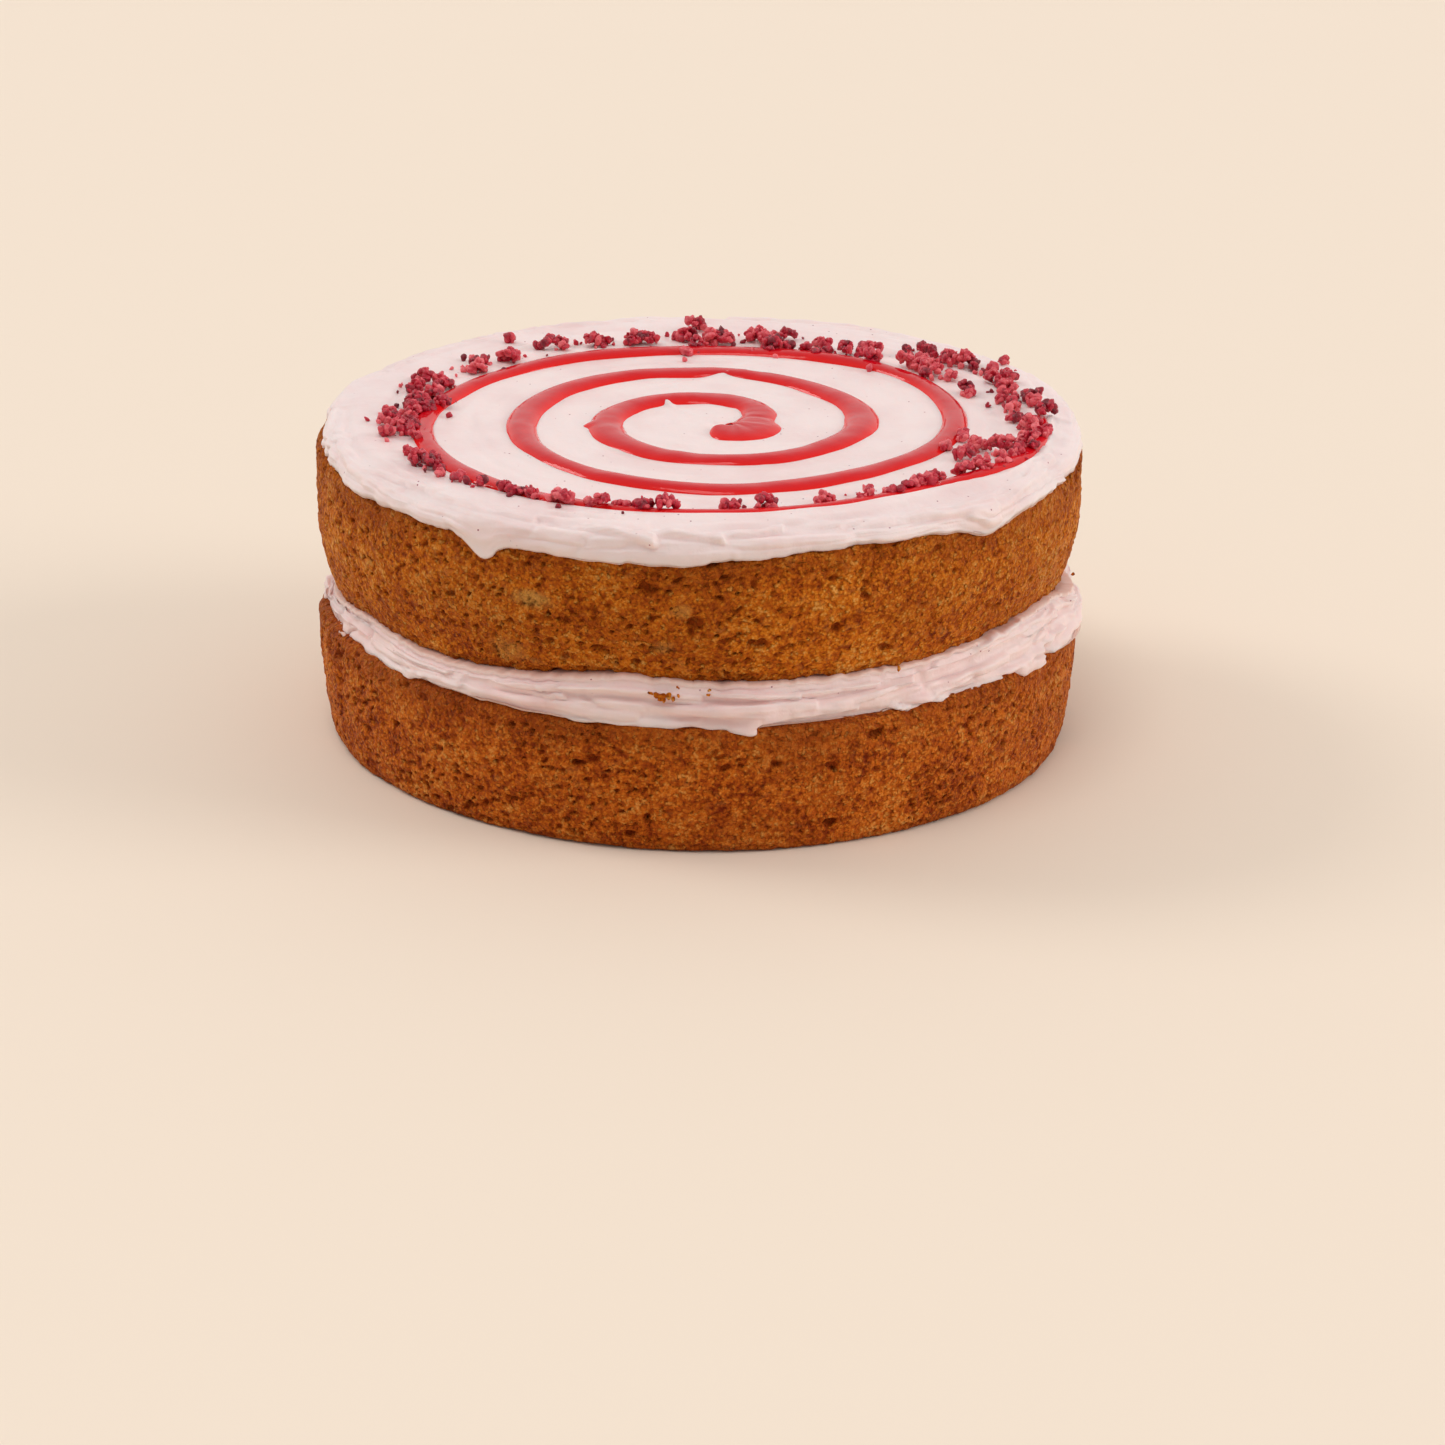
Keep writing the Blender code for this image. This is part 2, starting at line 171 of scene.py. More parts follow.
def within_box(points: Array) -> Array:
    """The points, with x and y eased off where they would pass the solids' box.

    Args:
        points: x, y, z in the last axis.

    Returns:
        The moved points.
    """
    moved = points.copy()
    for axis in (0, 1):
        for limit, sign in ((BOX_HIGH[axis], 1), (-BOX_LOW[axis], -1)):
            free = limit - BOX_SOFTNESS
            over = np.maximum(sign * moved[..., axis] - free, 0.0)
            held = free + BOX_SOFTNESS * (1 - np.exp(-over / BOX_SOFTNESS))
            moved[..., axis] = np.where(over > 0, sign * held, moved[..., axis])
    return moved


@dataclass(frozen=True)
class Noise:
    """Repeatable smooth noise and round pits in space."""

    seed: int

    def scatter(self, cells: Array, salt: int = 0) -> Array:
        """A value from 0 to 1 for each whole-number cell.

        Args:
            cells: Cell numbers, with x, y and z on the last axis.
            salt: Another number for another value.

        Returns:
            One value for each cell.
        """
        whole = cells.astype(np.int64)
        mixed = whole[..., 0] * 73856093 ^ whole[..., 1] * 19349663 ^ whole[..., 2] * 83492791
        mixed = (mixed ^ ((self.seed * 31 + salt + 1) * 2654435761)) & 0xFFFFFFFF
        mixed = ((mixed ^ (mixed >> 15)) * 2246822519) & 0xFFFFFFFF
        mixed = ((mixed ^ (mixed >> 13)) * 3266489917) & 0xFFFFFFFF
        return ((mixed ^ (mixed >> 16)) & 0xFFFFFFFF) / 0xFFFFFFFF

    def smooth(self, points: Array, size: float) -> Array:
        """Smooth noise from -1 to 1.

        Args:
            points: Where to read it.
            size: The width of its features.

        Returns:
            One value for each point.
        """
        scaled = points / size
        base = np.floor(scaled)
        part = ease(scaled - base)
        total = np.zeros(points.shape[:-1])
        for corner in np.ndindex(2, 2, 2):
            weight = np.prod([part[..., k] if corner[k] else 1 - part[..., k] for k in range(3)], axis=0)
            total += weight * self.scatter(base + np.array(corner))
        return total * 2 - 1

    def fractal(self, points: Array, size: float, octaves: int = 3, gain: float = 0.5) -> Array:
        """Smooth noise with finer and finer detail.

        Args:
            points: Where to read it.
            size: The width of its largest features.
            octaves: How many sizes are added, each half the last.
            gain: How strong each is beside the last.

        Returns:
            One value for each point, about -1 to 1.
        """
        total, strength, whole = np.zeros(points.shape[:-1]), 1.0, 0.0
        for octave in range(octaves):
            total += strength * self.smooth(points + 17.3 * octave, size / 2**octave)
            whole += strength
            strength *= gain
        return total / whole

    def pits(self, points: Array, size: float, radii: tuple[float, float], share: float) -> Array:
        """Round pits scattered in space.

        Args:
            points: Where to read them.
            size: The spacing of the pits.
            radii: The smallest and the largest radius.
            share: How many of the places hold a pit, from 0 to 1.

        Returns:
            How deep in a pit each point is, from 0 to 1.
        """
        base = np.floor(points / size)
        deepest = np.zeros(points.shape[:-1])
        for step in np.ndindex(3, 3, 3):
            cell = base + (np.array(step) - 1)
            spot = np.stack([cell[..., k] + self.scatter(cell, 11 + k) for k in range(3)], axis=-1) * size
            radius = radii[0] + (radii[1] - radii[0]) * self.scatter(cell, 21) ** 2
            there = self.scatter(cell, 22) < share
            depth = 1 - np.linalg.norm(points - spot, axis=-1) / radius
            deepest = np.maximum(deepest, np.where(there, ease(depth * 1.25), 0.0))
        return deepest


@dataclass
class Shell:
    """A closed round mesh from a grid of points: a row for each level and a column for each angle."""

    grid: Array
    strides: list[int]  # for each level, 1 where every column is kept, 2 where every second one is

    @staticmethod
    def normals(grid: Array) -> Array:
        """Outward normals of a grid whose levels go from the foot's axis outward, up and back to the axis.

        Args:
            grid: The points.

        Returns:
            A unit vector for each point.
        """
        around = np.roll(grid, -1, axis=1) - np.roll(grid, 1, axis=1)
        along = np.gradient(grid, axis=0)
        normal = np.cross(around, along)
        return normal / np.maximum(np.linalg.norm(normal, axis=-1, keepdims=True), 1e-9)

    def build(self, name: str, attributes: dict[str, Array]) -> bpy.types.Object:
        """Makes the object.

        Args:
            name: Its name.
            attributes: Values for each grid point, kept on the mesh for its finish to read.

        Returns:
            The linked object, in metres.
        """
        levels, columns = self.grid.shape[:2]
        number = -np.ones((levels, columns), dtype=int)
        count = 0
        for level, stride in enumerate(self.strides):
            kept = np.arange(0, columns, stride)
            number[level, kept] = count + np.arange(len(kept))
            count += len(kept)
        kept_points = number >= 0
        points = [tuple(point) for point in self.grid[kept_points] * MM]
        faces: list[tuple[int, ...]] = []
        for level in range(levels - 1):
            faces.extend(self._band(number, level))
        for level, turned in ((0, True), (levels - 1, False)):
            ring = number[level, :: self.strides[level]]
            middle = self.grid[level].mean(axis=0) * MM
            points.append((0.0, 0.0, float(middle[2])))
            hub = len(points) - 1
            for here, there in zip(ring, np.roll(ring, -1)):
                faces.append((hub, int(there), int(here)) if turned else (hub, int(here), int(there)))
        mesh = bpy.data.meshes.new(name)
        mesh.from_pydata(points, [], faces)
        for key, values in attributes.items():
            layer = mesh.attributes.new(key, "FLOAT", "POINT")
            kept_values = values[kept_points]
            ends = [float(values[0].mean()), float(values[-1].mean())]
            layer.data.foreach_set("value", np.concatenate([kept_values, ends]).astype(np.float32))
        return link(name, mesh)

    def _band(self, number: Array, level: int) -> list[tuple[int, ...]]:
        """Faces between a level and the next, also where the count of columns doubles or halves."""
        low, high = self.strides[level], self.strides[level + 1]
        wide = max(low, high)
        columns = number.shape[1]
        starts = np.arange(0, columns, wide)
        ends = (starts + wide) % columns
        below, above = number[level], number[level + 1]
        if low == high:
            quads = np.stack([below[starts], below[ends], above[ends], above[starts]], axis=1)
            return [tuple(face) for face in quads.tolist()]
        halfway = starts + wide // 2
        if low < high:
            stack = [below[starts], below[halfway], below[ends], above[ends], above[starts]]
        else:
            stack = [below[starts], below[ends], above[ends], above[halfway], above[starts]]
        return [tuple(face) for face in np.stack(stack, axis=1).tolist()]


def put_in_scene(name: str, data: bpy.types.ID) -> bpy.types.Object:
    """Adds an object to the scene.

    Args:
        name: Its name.
        data: The mesh, light or camera that it holds.

    Returns:
        The object.
    """
    made = bpy.data.objects.new(name, data)
    bpy.context.scene.collection.objects.link(made)
    return made


def link(name: str, mesh: bpy.types.Mesh) -> bpy.types.Object:
    """Adds a mesh to the scene as a smooth object.

    Args:
        name: The object's name.
        mesh: Its mesh, in metres.

    Returns:
        The object.
    """
    mesh.validate()
    mesh.shade_smooth()
    return put_in_scene(name, mesh)


def feed(tree: bpy.types.NodeTree, node: bpy.types.Node, inputs: dict[str | int, object]) -> None:
    """Links or sets a node's inputs.

    Args:
        tree: The tree that the node is in.
        node: The node.
        inputs: For each input, by name or number, the socket to link or the value to set.
    """
    for key, value in inputs.items():
        if isinstance(value, Socket):
            tree.links.new(value, node.inputs[key])
        else:
            node.inputs[key].default_value = value


def add_node(tree: bpy.types.NodeTree, kind: str, inputs: dict[str | int, object] | None = None,
             **settings: object) -> bpy.types.Node:
    """Adds a node to a tree.

    Args:
        tree: The tree.
        kind: The node's type.
        inputs: Sockets and values for its inputs.
        settings: Its other settings.

    Returns:
        The node.
    """
    node = tree.nodes.new(kind)
    for key, value in settings.items():
        setattr(node, key, value)
    feed(tree, node, inputs or {})
    return node


def reckon(tree: bpy.types.NodeTree, operation: str, first: Socket | float, second: Socket | float) -> Socket:
    """One sum on two values, by Blender's name for it. Returns the result's socket."""
    return add_node(tree, "ShaderNodeMath", {0: first, 1: second}, operation=operation).outputs[0]


class Graph:
    """Adds shader nodes to a material in few words."""

    def __init__(self, name: str) -> None:
        """Makes a material with its Principled node.

        Args:
            name: The material's name.
        """
        self.material = bpy.data.materials.new(name)
        self.material.use_nodes = True
        self.tree = self.material.node_tree
        self.surface = self.tree.nodes["Principled BSDF"]
        self.place = add_node(self.tree, "ShaderNodeTexCoord").outputs["Object"]

    def noise(self, size: float, detail: float = 3.0, rough: float = 0.55) -> Socket:
        """Smooth noise, 0 to 1, of this size in millimetres, with finer sizes added this roughly."""
        return add_node(self.tree, "ShaderNodeTexNoise", {
            "Vector": self.place, "Scale": 1 / (size * MM), "Detail": detail, "Roughness": rough,
        }).outputs["Fac"]

    def cells(self, size: float) -> Socket:
        """The distance to scattered points that stand this many millimetres apart."""
        inputs = {"Vector": self.place, "Scale": 1 / (size * MM)}
        return add_node(self.tree, "ShaderNodeTexVoronoi", inputs).outputs["Distance"]

    def attribute(self, name: str) -> Socket:
        """A value that the mesh holds."""
        return add_node(self.tree, "ShaderNodeAttribute", attribute_name=name).outputs["Fac"]

    def span(self, value: Socket, low: float, high: float, start: float = 0.0, end: float = 1.0) -> Socket:
        """Maps a value: start where it is low, end where it is high, and held at the ends."""
        return add_node(self.tree, "ShaderNodeMapRange", {
            "Value": value, "From Min": low, "From Max": high, "To Min": start, "To Max": end,
        }).outputs["Result"]

    def weighted(self, first: Socket, much: float, second: Socket, more: float) -> Socket:
        """Adds two values, each multiplied by the number after it."""
        parts = (reckon(self.tree, "MULTIPLY", *pair) for pair in ((first, much), (second, more)))
        return reckon(self.tree, "ADD", *parts)

    def ramp(self, value: Socket, stops: Sequence[tuple[float, Colour]]) -> Socket:
        """Colours along a value.

        Args:
            value: The value, 0 to 1.
            stops: Places and colours.

        Returns:
            The colour's socket.
        """
        node = add_node(self.tree, "ShaderNodeValToRGB", {"Fac": value})
        band = node.color_ramp
        while len(band.elements) < len(stops):
            band.elements.new(0.5)
        for element, (place, colour) in zip(band.elements, stops):
            element.position = place
            element.color = (*colour, 1)
        return node.outputs["Color"]

    def mix(self, share: Socket, first: Socket | Colour, second: Socket | Colour) -> Socket:
        """Blends two colours by how much of the second shows. Returns the colour's socket."""
        pair = [(*value, 1) if isinstance(value, tuple) else value for value in (first, second)]
        return add_node(self.tree, "ShaderNodeMix", {0: share, 6: pair[0], 7: pair[1]},
                        data_type="RGBA").outputs[2]

    def bump(self, height: Socket, depth: float, before: Socket | None = None) -> Socket:
        """Relief too fine for the mesh.

        Args:
            height: Its height, 0 to 1.
            depth: Millimetres from 0 to 1.
            before: Another relief's normal that it is added to.

        Returns:
            The normal's socket.
        """
        inputs = {"Height": height, "Distance": depth * MM, "Strength": 1.0}
        if before is not None:
            inputs["Normal"] = before
        return add_node(self.tree, "ShaderNodeBump", inputs).outputs["Normal"]

    def finish(self, colour: Socket, roughness: Socket | float, normal: Socket,
               constants: dict[str, object]) -> bpy.types.Material:
        """Links the surface and sets the Principled node's constants. Returns the material."""
        feed(self.tree, self.surface, {
            "Base Color": colour, "Normal": normal, "Roughness": roughness, **constants})
        return self.material


@dataclass(frozen=True)
class SpongeFinish:
    """Baked crumb, amber on its face: deep brown in its pits and tan on its highest grains, partly the
    crumb's own colour and partly painted shade and painted highlight.
    """

    name: str
    deep: Colour = (0.20, 0.022, 0.002)
    face: Colour = (0.52, 0.112, 0.006)
    warm: Colour = (0.72, 0.205, 0.011)
    tan: Colour = (0.88, 0.42, 0.10)
    pale: Colour = (0.62, 0.34, 0.085)
    shaded_crust: Colour = (0.30, 0.056, 0.006)
    patch_size: float = 13.0
    grain_size: float = 1.7
    crumb_size: float = 0.95
    coarse_size: float = 2.1

    def material(self) -> bpy.types.Material:
        """Builds the material. Returns it."""
        graph = Graph(self.name)
        patches = graph.noise(self.patch_size, 3.0)
        grain = graph.noise(self.grain_size, 4.0, 0.7)
        crumbs = graph.span(graph.cells(self.crumb_size), 0.1, 0.75, 1.0, 0.0)
        coarse = graph.span(graph.cells(self.coarse_size), 0.1, 0.7, 1.0, 0.0)
        # The ramp reads the same grain and crumb cells as the bump below, so low places get painted shade in
        # deep brown and raised ones a painted highlight in tan, over the crumb's own random tone.
        tone = graph.weighted(patches, 0.40, grain, 0.60)
        relief = graph.weighted(crumbs, 0.16, coarse, 0.10)
        tone = reckon(graph.tree, "ADD", tone, reckon(graph.tree, "SUBTRACT", relief, 0.13))
        colour = graph.ramp(tone, ((0.28, self.deep), (0.42, self.face), (0.52, self.warm), (0.66, self.tan)))
        # Painted shade: points marked sunk, in pores, hollows and holes, are blended towards the deep brown.
        sunk = graph.span(graph.attribute("sunk"), 0.10, 0.85, 0.0, 0.8)
        colour = graph.mix(sunk, colour, self.deep)
        # Painted highlight: the highest grains are blended towards tan.
        raised_highlight = graph.span(graph.attribute("raised_highlight"), 0.2, 0.9, 0.0, 0.3)
        colour = graph.mix(raised_highlight, colour, self.tan)
        # The crust colour: real browner zones, and painted shade near the layer's top and foot.
        colour = graph.mix(graph.attribute("crust_and_shade"), colour, self.shaded_crust)
        colour = graph.mix(graph.attribute("pale"), colour, self.pale)
        normal = graph.bump(grain, 1.3)
        normal = graph.bump(coarse, 0.55, normal)
        normal = graph.bump(crumbs, 0.40, normal)
        return graph.finish(colour, 0.62, normal, {
            "Specular IOR Level": 0.16,
            "Specular Tint": (1.0, 0.66, 0.34, 1.0),
            "Subsurface Weight": 0.08,
            "Subsurface Radius": (1.0, 0.40, 0.10),
            "Subsurface Scale": 0.001,
        })


@dataclass(frozen=True)
class CreamFinish:
    """Whipped cream with a blush of fruit, dark seed flecks and a satin skin."""

    name: str
    light: Colour = (0.875, 0.725, 0.71)
    blush: Colour = (0.83, 0.64, 0.63)
    fleck: Colour = (0.33, 0.07, 0.12)
    stain_and_shade: Colour = (0.66, 0.30, 0.16)
    cloud_size: float = 22.0
    fleck_spacing: float = 3.4
    dust_spacing: float = 1.9

    def material(self) -> bpy.types.Material:
        """Builds the material. Returns it."""
        graph = Graph(self.name)
        clouds = graph.noise(self.cloud_size, 3.0)
        colour = graph.ramp(clouds, ((0.30, self.blush), (0.55, self.light), (0.8, self.light)))
        near = graph.span(graph.cells(self.fleck_spacing), 0.055, 0.085, 1.0, 0.0)
        some = graph.span(graph.noise(9.0, 1.0), 0.48, 0.56)
        colour = graph.mix(reckon(graph.tree, "MULTIPLY", near, some), colour, self.fleck)
        dust = graph.span(graph.cells(self.dust_spacing), 0.045, 0.075, 0.5, 0.0)
        colour = graph.mix(dust, colour, self.blush)
        # Near the sponge the cream is tinted brown: partly a stain from the crumb and partly painted shade
        # where the cream meets the sponge.
        colour = graph.mix(graph.attribute("near"), colour, self.stain_and_shade)
        normal = graph.bump(graph.noise(2.6, 3.0), 0.22)
        normal = graph.bump(graph.noise(0.7, 2.0), 0.05, normal)
        roughness = graph.span(clouds, 0.3, 0.7, 0.36, 0.5)
        return graph.finish(colour, roughness, normal, {
            "Specular IOR Level": 0.42,
            "Subsurface Weight": 0.40,
            "Subsurface Radius": (1.0, 0.58, 0.50),
            "Subsurface Scale": 0.003,
        })


@dataclass(frozen=True)
class JamFinish:
    """Seedless jam: deep clear red under a wet shine."""

    name: str
    deep: Colour = (0.60, 0.002, 0.009)
    bright: Colour = (0.86, 0.014, 0.010)

    def material(self) -> bpy.types.Material:
        """Builds the material. Returns it."""
        graph = Graph(self.name)
        thick = graph.span(graph.attribute("thick"), 0.1, 0.9)
        cloud = graph.noise(6.0, 2.0)
        colour = graph.mix(thick, self.bright, self.deep)
        colour = graph.mix(graph.span(cloud, 0.55, 0.8, 0.0, 0.35), colour, self.bright)
        normal = graph.bump(graph.noise(5.0, 2.0), 0.18)
        return graph.finish(colour, 0.09, normal, {
            "Specular IOR Level": 0.28,
            "Subsurface Weight": 0.2,
            "Subsurface Radius": (1.0, 0.06, 0.05),
            "Subsurface Scale": 0.002,
        })


@dataclass(frozen=True)
class RaspberryFinish:
    """Freeze-dried raspberry: crimson knobs and dusty pink skins, with painted shade in the hollows and
    painted highlight on the tips of the fine bump.
    """

    name: str
    dark: Colour = (0.19, 0.002, 0.014)
    middle: Colour = (0.60, 0.008, 0.036)
    light: Colour = (0.98, 0.19, 0.21)

    def material(self) -> bpy.types.Material:
        """Builds the material. Returns it."""
        graph = Graph(self.name)
        grain = graph.noise(1.3, 4.0, 0.6)
        own = graph.attribute("tone")
        # The grain that lifts the bump also picks the colour: painted shade in the dark colour in its hollows
        # and painted highlight in the light colour on its tips, mixed with each piece's own tone.
        tone = graph.weighted(grain, 0.5, own, 0.5)
        colour = graph.ramp(tone, ((0.28, self.dark), (0.48, self.middle), (0.74, self.light)))
        normal = graph.bump(grain, 0.5)
        normal = graph.bump(graph.noise(0.4, 2.0), 0.10, normal)
        return graph.finish(colour, 0.30, normal, {
            "Specular IOR Level": 0.5,
            "Subsurface Weight": 0.12,
            "Subsurface Radius": (1.0, 0.1, 0.15),
            "Subsurface Scale": 0.001,
        })


@dataclass(frozen=True)
class Pit:
    """One large hollow in a sponge's side."""

    angle: float
    z: float
    width: float
    height: float
    depth: float


class Layer(Enum):
    """The two sponges, each with its CAD node's name."""

    LOWER = "sponge_lower"
    UPPER = "sponge_upper"


def lower_top(angle: Array) -> Array:
    """The level of the lower sponge's top."""
    return LOWER_TOP + 0.4 * np.cos(np.radians(3 * angle + 50))


def upper_foot(angle: Array, radius: float) -> Array:
    """The underside of the upper sponge, level in the middle and uneven towards its rim."""
    uneven = ease((radius - UNDERSIDE_FLAT) / (UNDERSIDE_RIM - UNDERSIDE_FLAT))
    return UPPER_FOOT + bumps(UPPER_FOOT_BUMPS, angle) * uneven


def upper_top(angle: Array) -> Array:
    """The level of the upper sponge's top."""
    return UPPER_TOP + bumps(UPPER_TOP_BUMPS, angle)


def side_radius(radii: tuple[float, float, float], angle: Array, rise: Array) -> Array:
    """A sponge's radius at a height above its foot, tapered as its tin is.

    Args:
        radii: The radius at the foot, the widest radius and how far up that is.
        angle: Angles.
        rise: Heights above the foot.

    Returns:
        The radii.
    """
    at_foot, widest, level = radii
    radius = at_foot + (widest - at_foot) * np.sin(np.minimum(rise / level, 1.0) * math.pi / 2)
    for count, depth, phase in SPONGE_WAVES:
        radius = radius + depth * np.cos(np.radians(count * angle + phase))
    return radius


def column_angles(columns: int) -> Array:
    """The angle of each column of a round grid."""
    return np.arange(columns) * 360.0 / columns


@dataclass
class Sponge:
    """A baked layer with a crumbly side: grains, pores, larger hollows and wrinkles from the tin's lining."""

    layer: Layer
    finish: SpongeFinish
    seed: int
    holes: tuple[Pit, ...] = ()
    pale_spots: tuple[Pit, ...] = ()
    wrinkles: float = 0.0
    wrinkled: Rows = ((196, 22, 1.0), (30, 25, 0.7))
    columns: int = 1152
    side_step: float = 0.5
    foot_leans: int = 5
    shoulder_leans: int = 8
    under_shares: tuple[float, ...] = (0.02, 0.3, 0.6, 0.85)
    top_shares: tuple[float, ...] = (0.96, 0.8, 0.5, 0.02)
    squeeze: float = 1.55
    grain_depth: float = 0.42
    lump_depth: float = 0.30
    broad_depth: float = 0.30
    set_back: float = 0.35
    pore_depth: float = 1.15
    pore_spacing: float = 2.3
    pore_radii: tuple[float, float] = (0.6, 1.7)
    pore_share: float = 0.5
    hollow_depth: float = 1.3
    hollow_spacing: float = 6.5
    hollow_radii: tuple[float, float] = (1.2, 2.8)
    hollow_share: float = 0.18
    ragged: float = 1.5
    # Rows of (reach, share): how far and how much the crust colour reaches in from the layer's top and from
    # its foot, painted shade where the layer meets the cream and what it stands on.
    shades: tuple[tuple[float, float], tuple[float, float]] = ((6.5, 0.42), (1.6, 0.45))

    def profile(self, angle: Array) -> tuple[Array, Array, Array]:
        """The smooth outline at each angle.

        Args:
            angle: Angles of the columns.

        Returns:
            Radii and heights, one row for each level, and how exposed each level is, 0 to 1.
        """
        if self.layer is Layer.LOWER:
            radii, foot, top = LOWER_RADII, np.zeros_like(angle), lower_top(angle)
        else:
            radii, foot, top = UPPER_RADII, upper_foot(angle, UNDERSIDE_RIM), upper_top(angle)
        corner = side_radius(radii, angle, np.zeros_like(angle))
        rows: list[tuple[Array, Array, float]] = []
        for share in self.under_shares:
            reach = corner * share
            under = foot if self.layer is Layer.LOWER else upper_foot(angle, float(reach.mean()))
            rows.append((reach, under, 0.0))
        rows.append((corner - 3 * FOOT_FILLET, foot, 0.0))
        for lean in np.linspace(0, 90, self.foot_leans):
            turn = math.radians(lean)
            rows.append((corner + FOOT_FILLET * (math.sin(turn) - 1),
                         foot + FOOT_FILLET * (1 - math.cos(turn)), 0.35 + 0.65 * lean / 90))
        height = float((top - foot).mean())
        steps = int((height - FOOT_FILLET - SHOULDER_FILLET) / self.side_step)
        for step in range(1, steps + 1):
            rise = FOOT_FILLET + (top - foot - FOOT_FILLET - SHOULDER_FILLET) * step / steps
            rows.append((side_radius(radii, angle, rise), foot + rise, 1.0))
        shoulder = rows[-1][0] - SHOULDER_FILLET
        for lean in np.linspace(80, 0, self.shoulder_leans):
            turn = math.radians(lean)
            rows.append((shoulder + SHOULDER_FILLET * math.sin(turn),
                         top + SHOULDER_FILLET * (math.cos(turn) - 1), 0.4 + 0.6 * lean / 90))
        for share in self.top_shares:
            rows.append((shoulder * share, top, 0.0))
        radius, z, shown = zip(*rows)
        return np.array(radius), np.array(z), np.array(shown)

    def build(self) -> list[bpy.types.Object]:
        """Makes the layer. Returns its object."""
        angle = column_angles(self.columns)
        radius, z, shown = self.profile(angle)
        grid = ring_points(radius, angle[None, :], z)
        relief, looks = self._crumb(grid, angle, z)
        grid = grid + Shell.normals(grid) * (relief * shown[:, None])[..., None]
        if self.layer is Layer.UPPER:
            corners = ((shown > 0.3) & (shown < 1))[:, None]
            grid[..., 2] += self.ragged * Noise(self.seed).fractal(grid + 140.0, 2.6, 3, 0.6) * corners
        grid[..., 2] = np.maximum(grid[..., 2], 0.0)
        piece = Shell(grid, self._strides(shown)).build(self.layer.value + "_crumb", looks)
        piece.data.materials.append(self.finish.material())
        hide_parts(self.layer.value)
        return [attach(piece, BODY)]

    def _crumb(self, grid: Array, angle: Array,
               z: Array) -> tuple[Array, dict[str, Array]]:
        """The crumb's relief, and what the finish reads.

        Args:
            grid: The smooth outline's points.
            angle: Angles of the columns.
            z: Heights of the points.

        Returns:
            How far each point moves outwards, and what the finish reads: painted shade in the pits, painted
            highlight on the highest grains, pale spots, and the crust colour with painted shade near the top
            and foot.
        """
        # A number that is added to the points gives each noise a pattern of its own.
        noise = Noise(self.seed)
        squeezed = grid * np.array((1.0, 1.0, self.squeeze))
        grains = noise.smooth(squeezed, 1.3) * 0.55 + noise.smooth(squeezed + 31.0, 2.4) * 0.45
        lumps = noise.fractal(squeezed, 5.0, 2)
        broad = noise.fractal(grid + 7.0, 17.0, 2)
        warp = np.stack([noise.fractal(grid + shift, 2.6, 2, 0.7) for shift in (3.0, 57.0, 91.0)], axis=-1)
        bent = squeezed + 1.5 * warp
        rough = ease(noise.fractal(grid + 70.0, 24.0, 2) * 1.2 + 0.55)
        pores = noise.pits(bent, self.pore_spacing, self.pore_radii, self.pore_share) * (0.3 + 0.7 * rough)
        hollows = Noise(self.seed + 5).pits(bent, self.hollow_spacing, self.hollow_radii, self.hollow_share)
        relief = self.grain_depth * grains + self.lump_depth * lumps + self.broad_depth * broad
        relief -= self.set_back
        relief -= self.pore_depth * pores + self.hollow_depth * hollows
        # The sunk mask: pores, hollows and holes, where the finish paints shade.
        sunk = np.clip(1.25 * pores + 1.1 * hollows - 0.25 * grains, 0, 1)
        for hole in self.holes:
            near = self._spot(hole, angle, z, warp)
            relief -= hole.depth * near
            sunk = np.maximum(sunk, near)
        pale = np.zeros_like(relief)
        for spot in self.pale_spots:
            pale = np.maximum(pale, spot.depth * self._spot(spot, angle, z, warp))
        if self.wrinkles:
            folds = noise.smooth(ring_points(60.0, angle[None, :], z * 0.12 + 0.05 * grid[..., 0]), 1.7)
            relief += self.wrinkles * folds * bumps(self.wrinkled, angle)[None, :]
        # The highest grains, where the finish paints a highlight.
        raised_highlight = np.clip(grains + lumps * 0.3 - 2 * sunk, 0, 1)
        crust_and_shade = self._crust_and_shade(angle, z, broad, warp)
        return relief, {"sunk": sunk, "raised_highlight": raised_highlight, "pale": pale, "crust_and_shade": crust_and_shade}

    def _crust_and_shade(self, angle: Array, z: Array, broad: Array, warp: Array) -> Array:
        """How much darker crust colour is blended in: zones where the tin was hottest, and painted shade near
        the layer's top and foot, where it meets the cream and what it stands on.

        Args:
            angle: Angles of the columns.
            z: Heights of the points.
            broad: Broad noise at each point.
            warp: Fine noise at each point.

        Returns:
            The share of crust colour, painted shade near the top and foot included.
        """
        around = ring_points(SIDE_RADIUS, angle[None, :], z * 1.4)
        zones = ease(Noise(self.seed + 40).fractal(around, 26.0, 3) * 1.4 + 0.35)
        ends = z.max(axis=0)[None, :] - z, z - z.min(axis=0)[None, :]
        near = sum(np.exp(-(np.maximum(end + 0.8 * warp[..., 0], 0) / reach) ** 2) * depth
                   for end, (reach, depth) in zip(ends, self.shades))
        return np.clip(0.30 * zones + near + 0.1 * broad, 0, 0.85)

    def _strides(self, shown: Array) -> list[int]:
        """Every column where the level shows, and fewer towards the axis."""
        strides = [1 if value > 0 else 2 for value in shown]
        for inward, stride in enumerate((16, 8, 4)):
            strides[inward] = strides[-1 - inward] = stride
        return strides

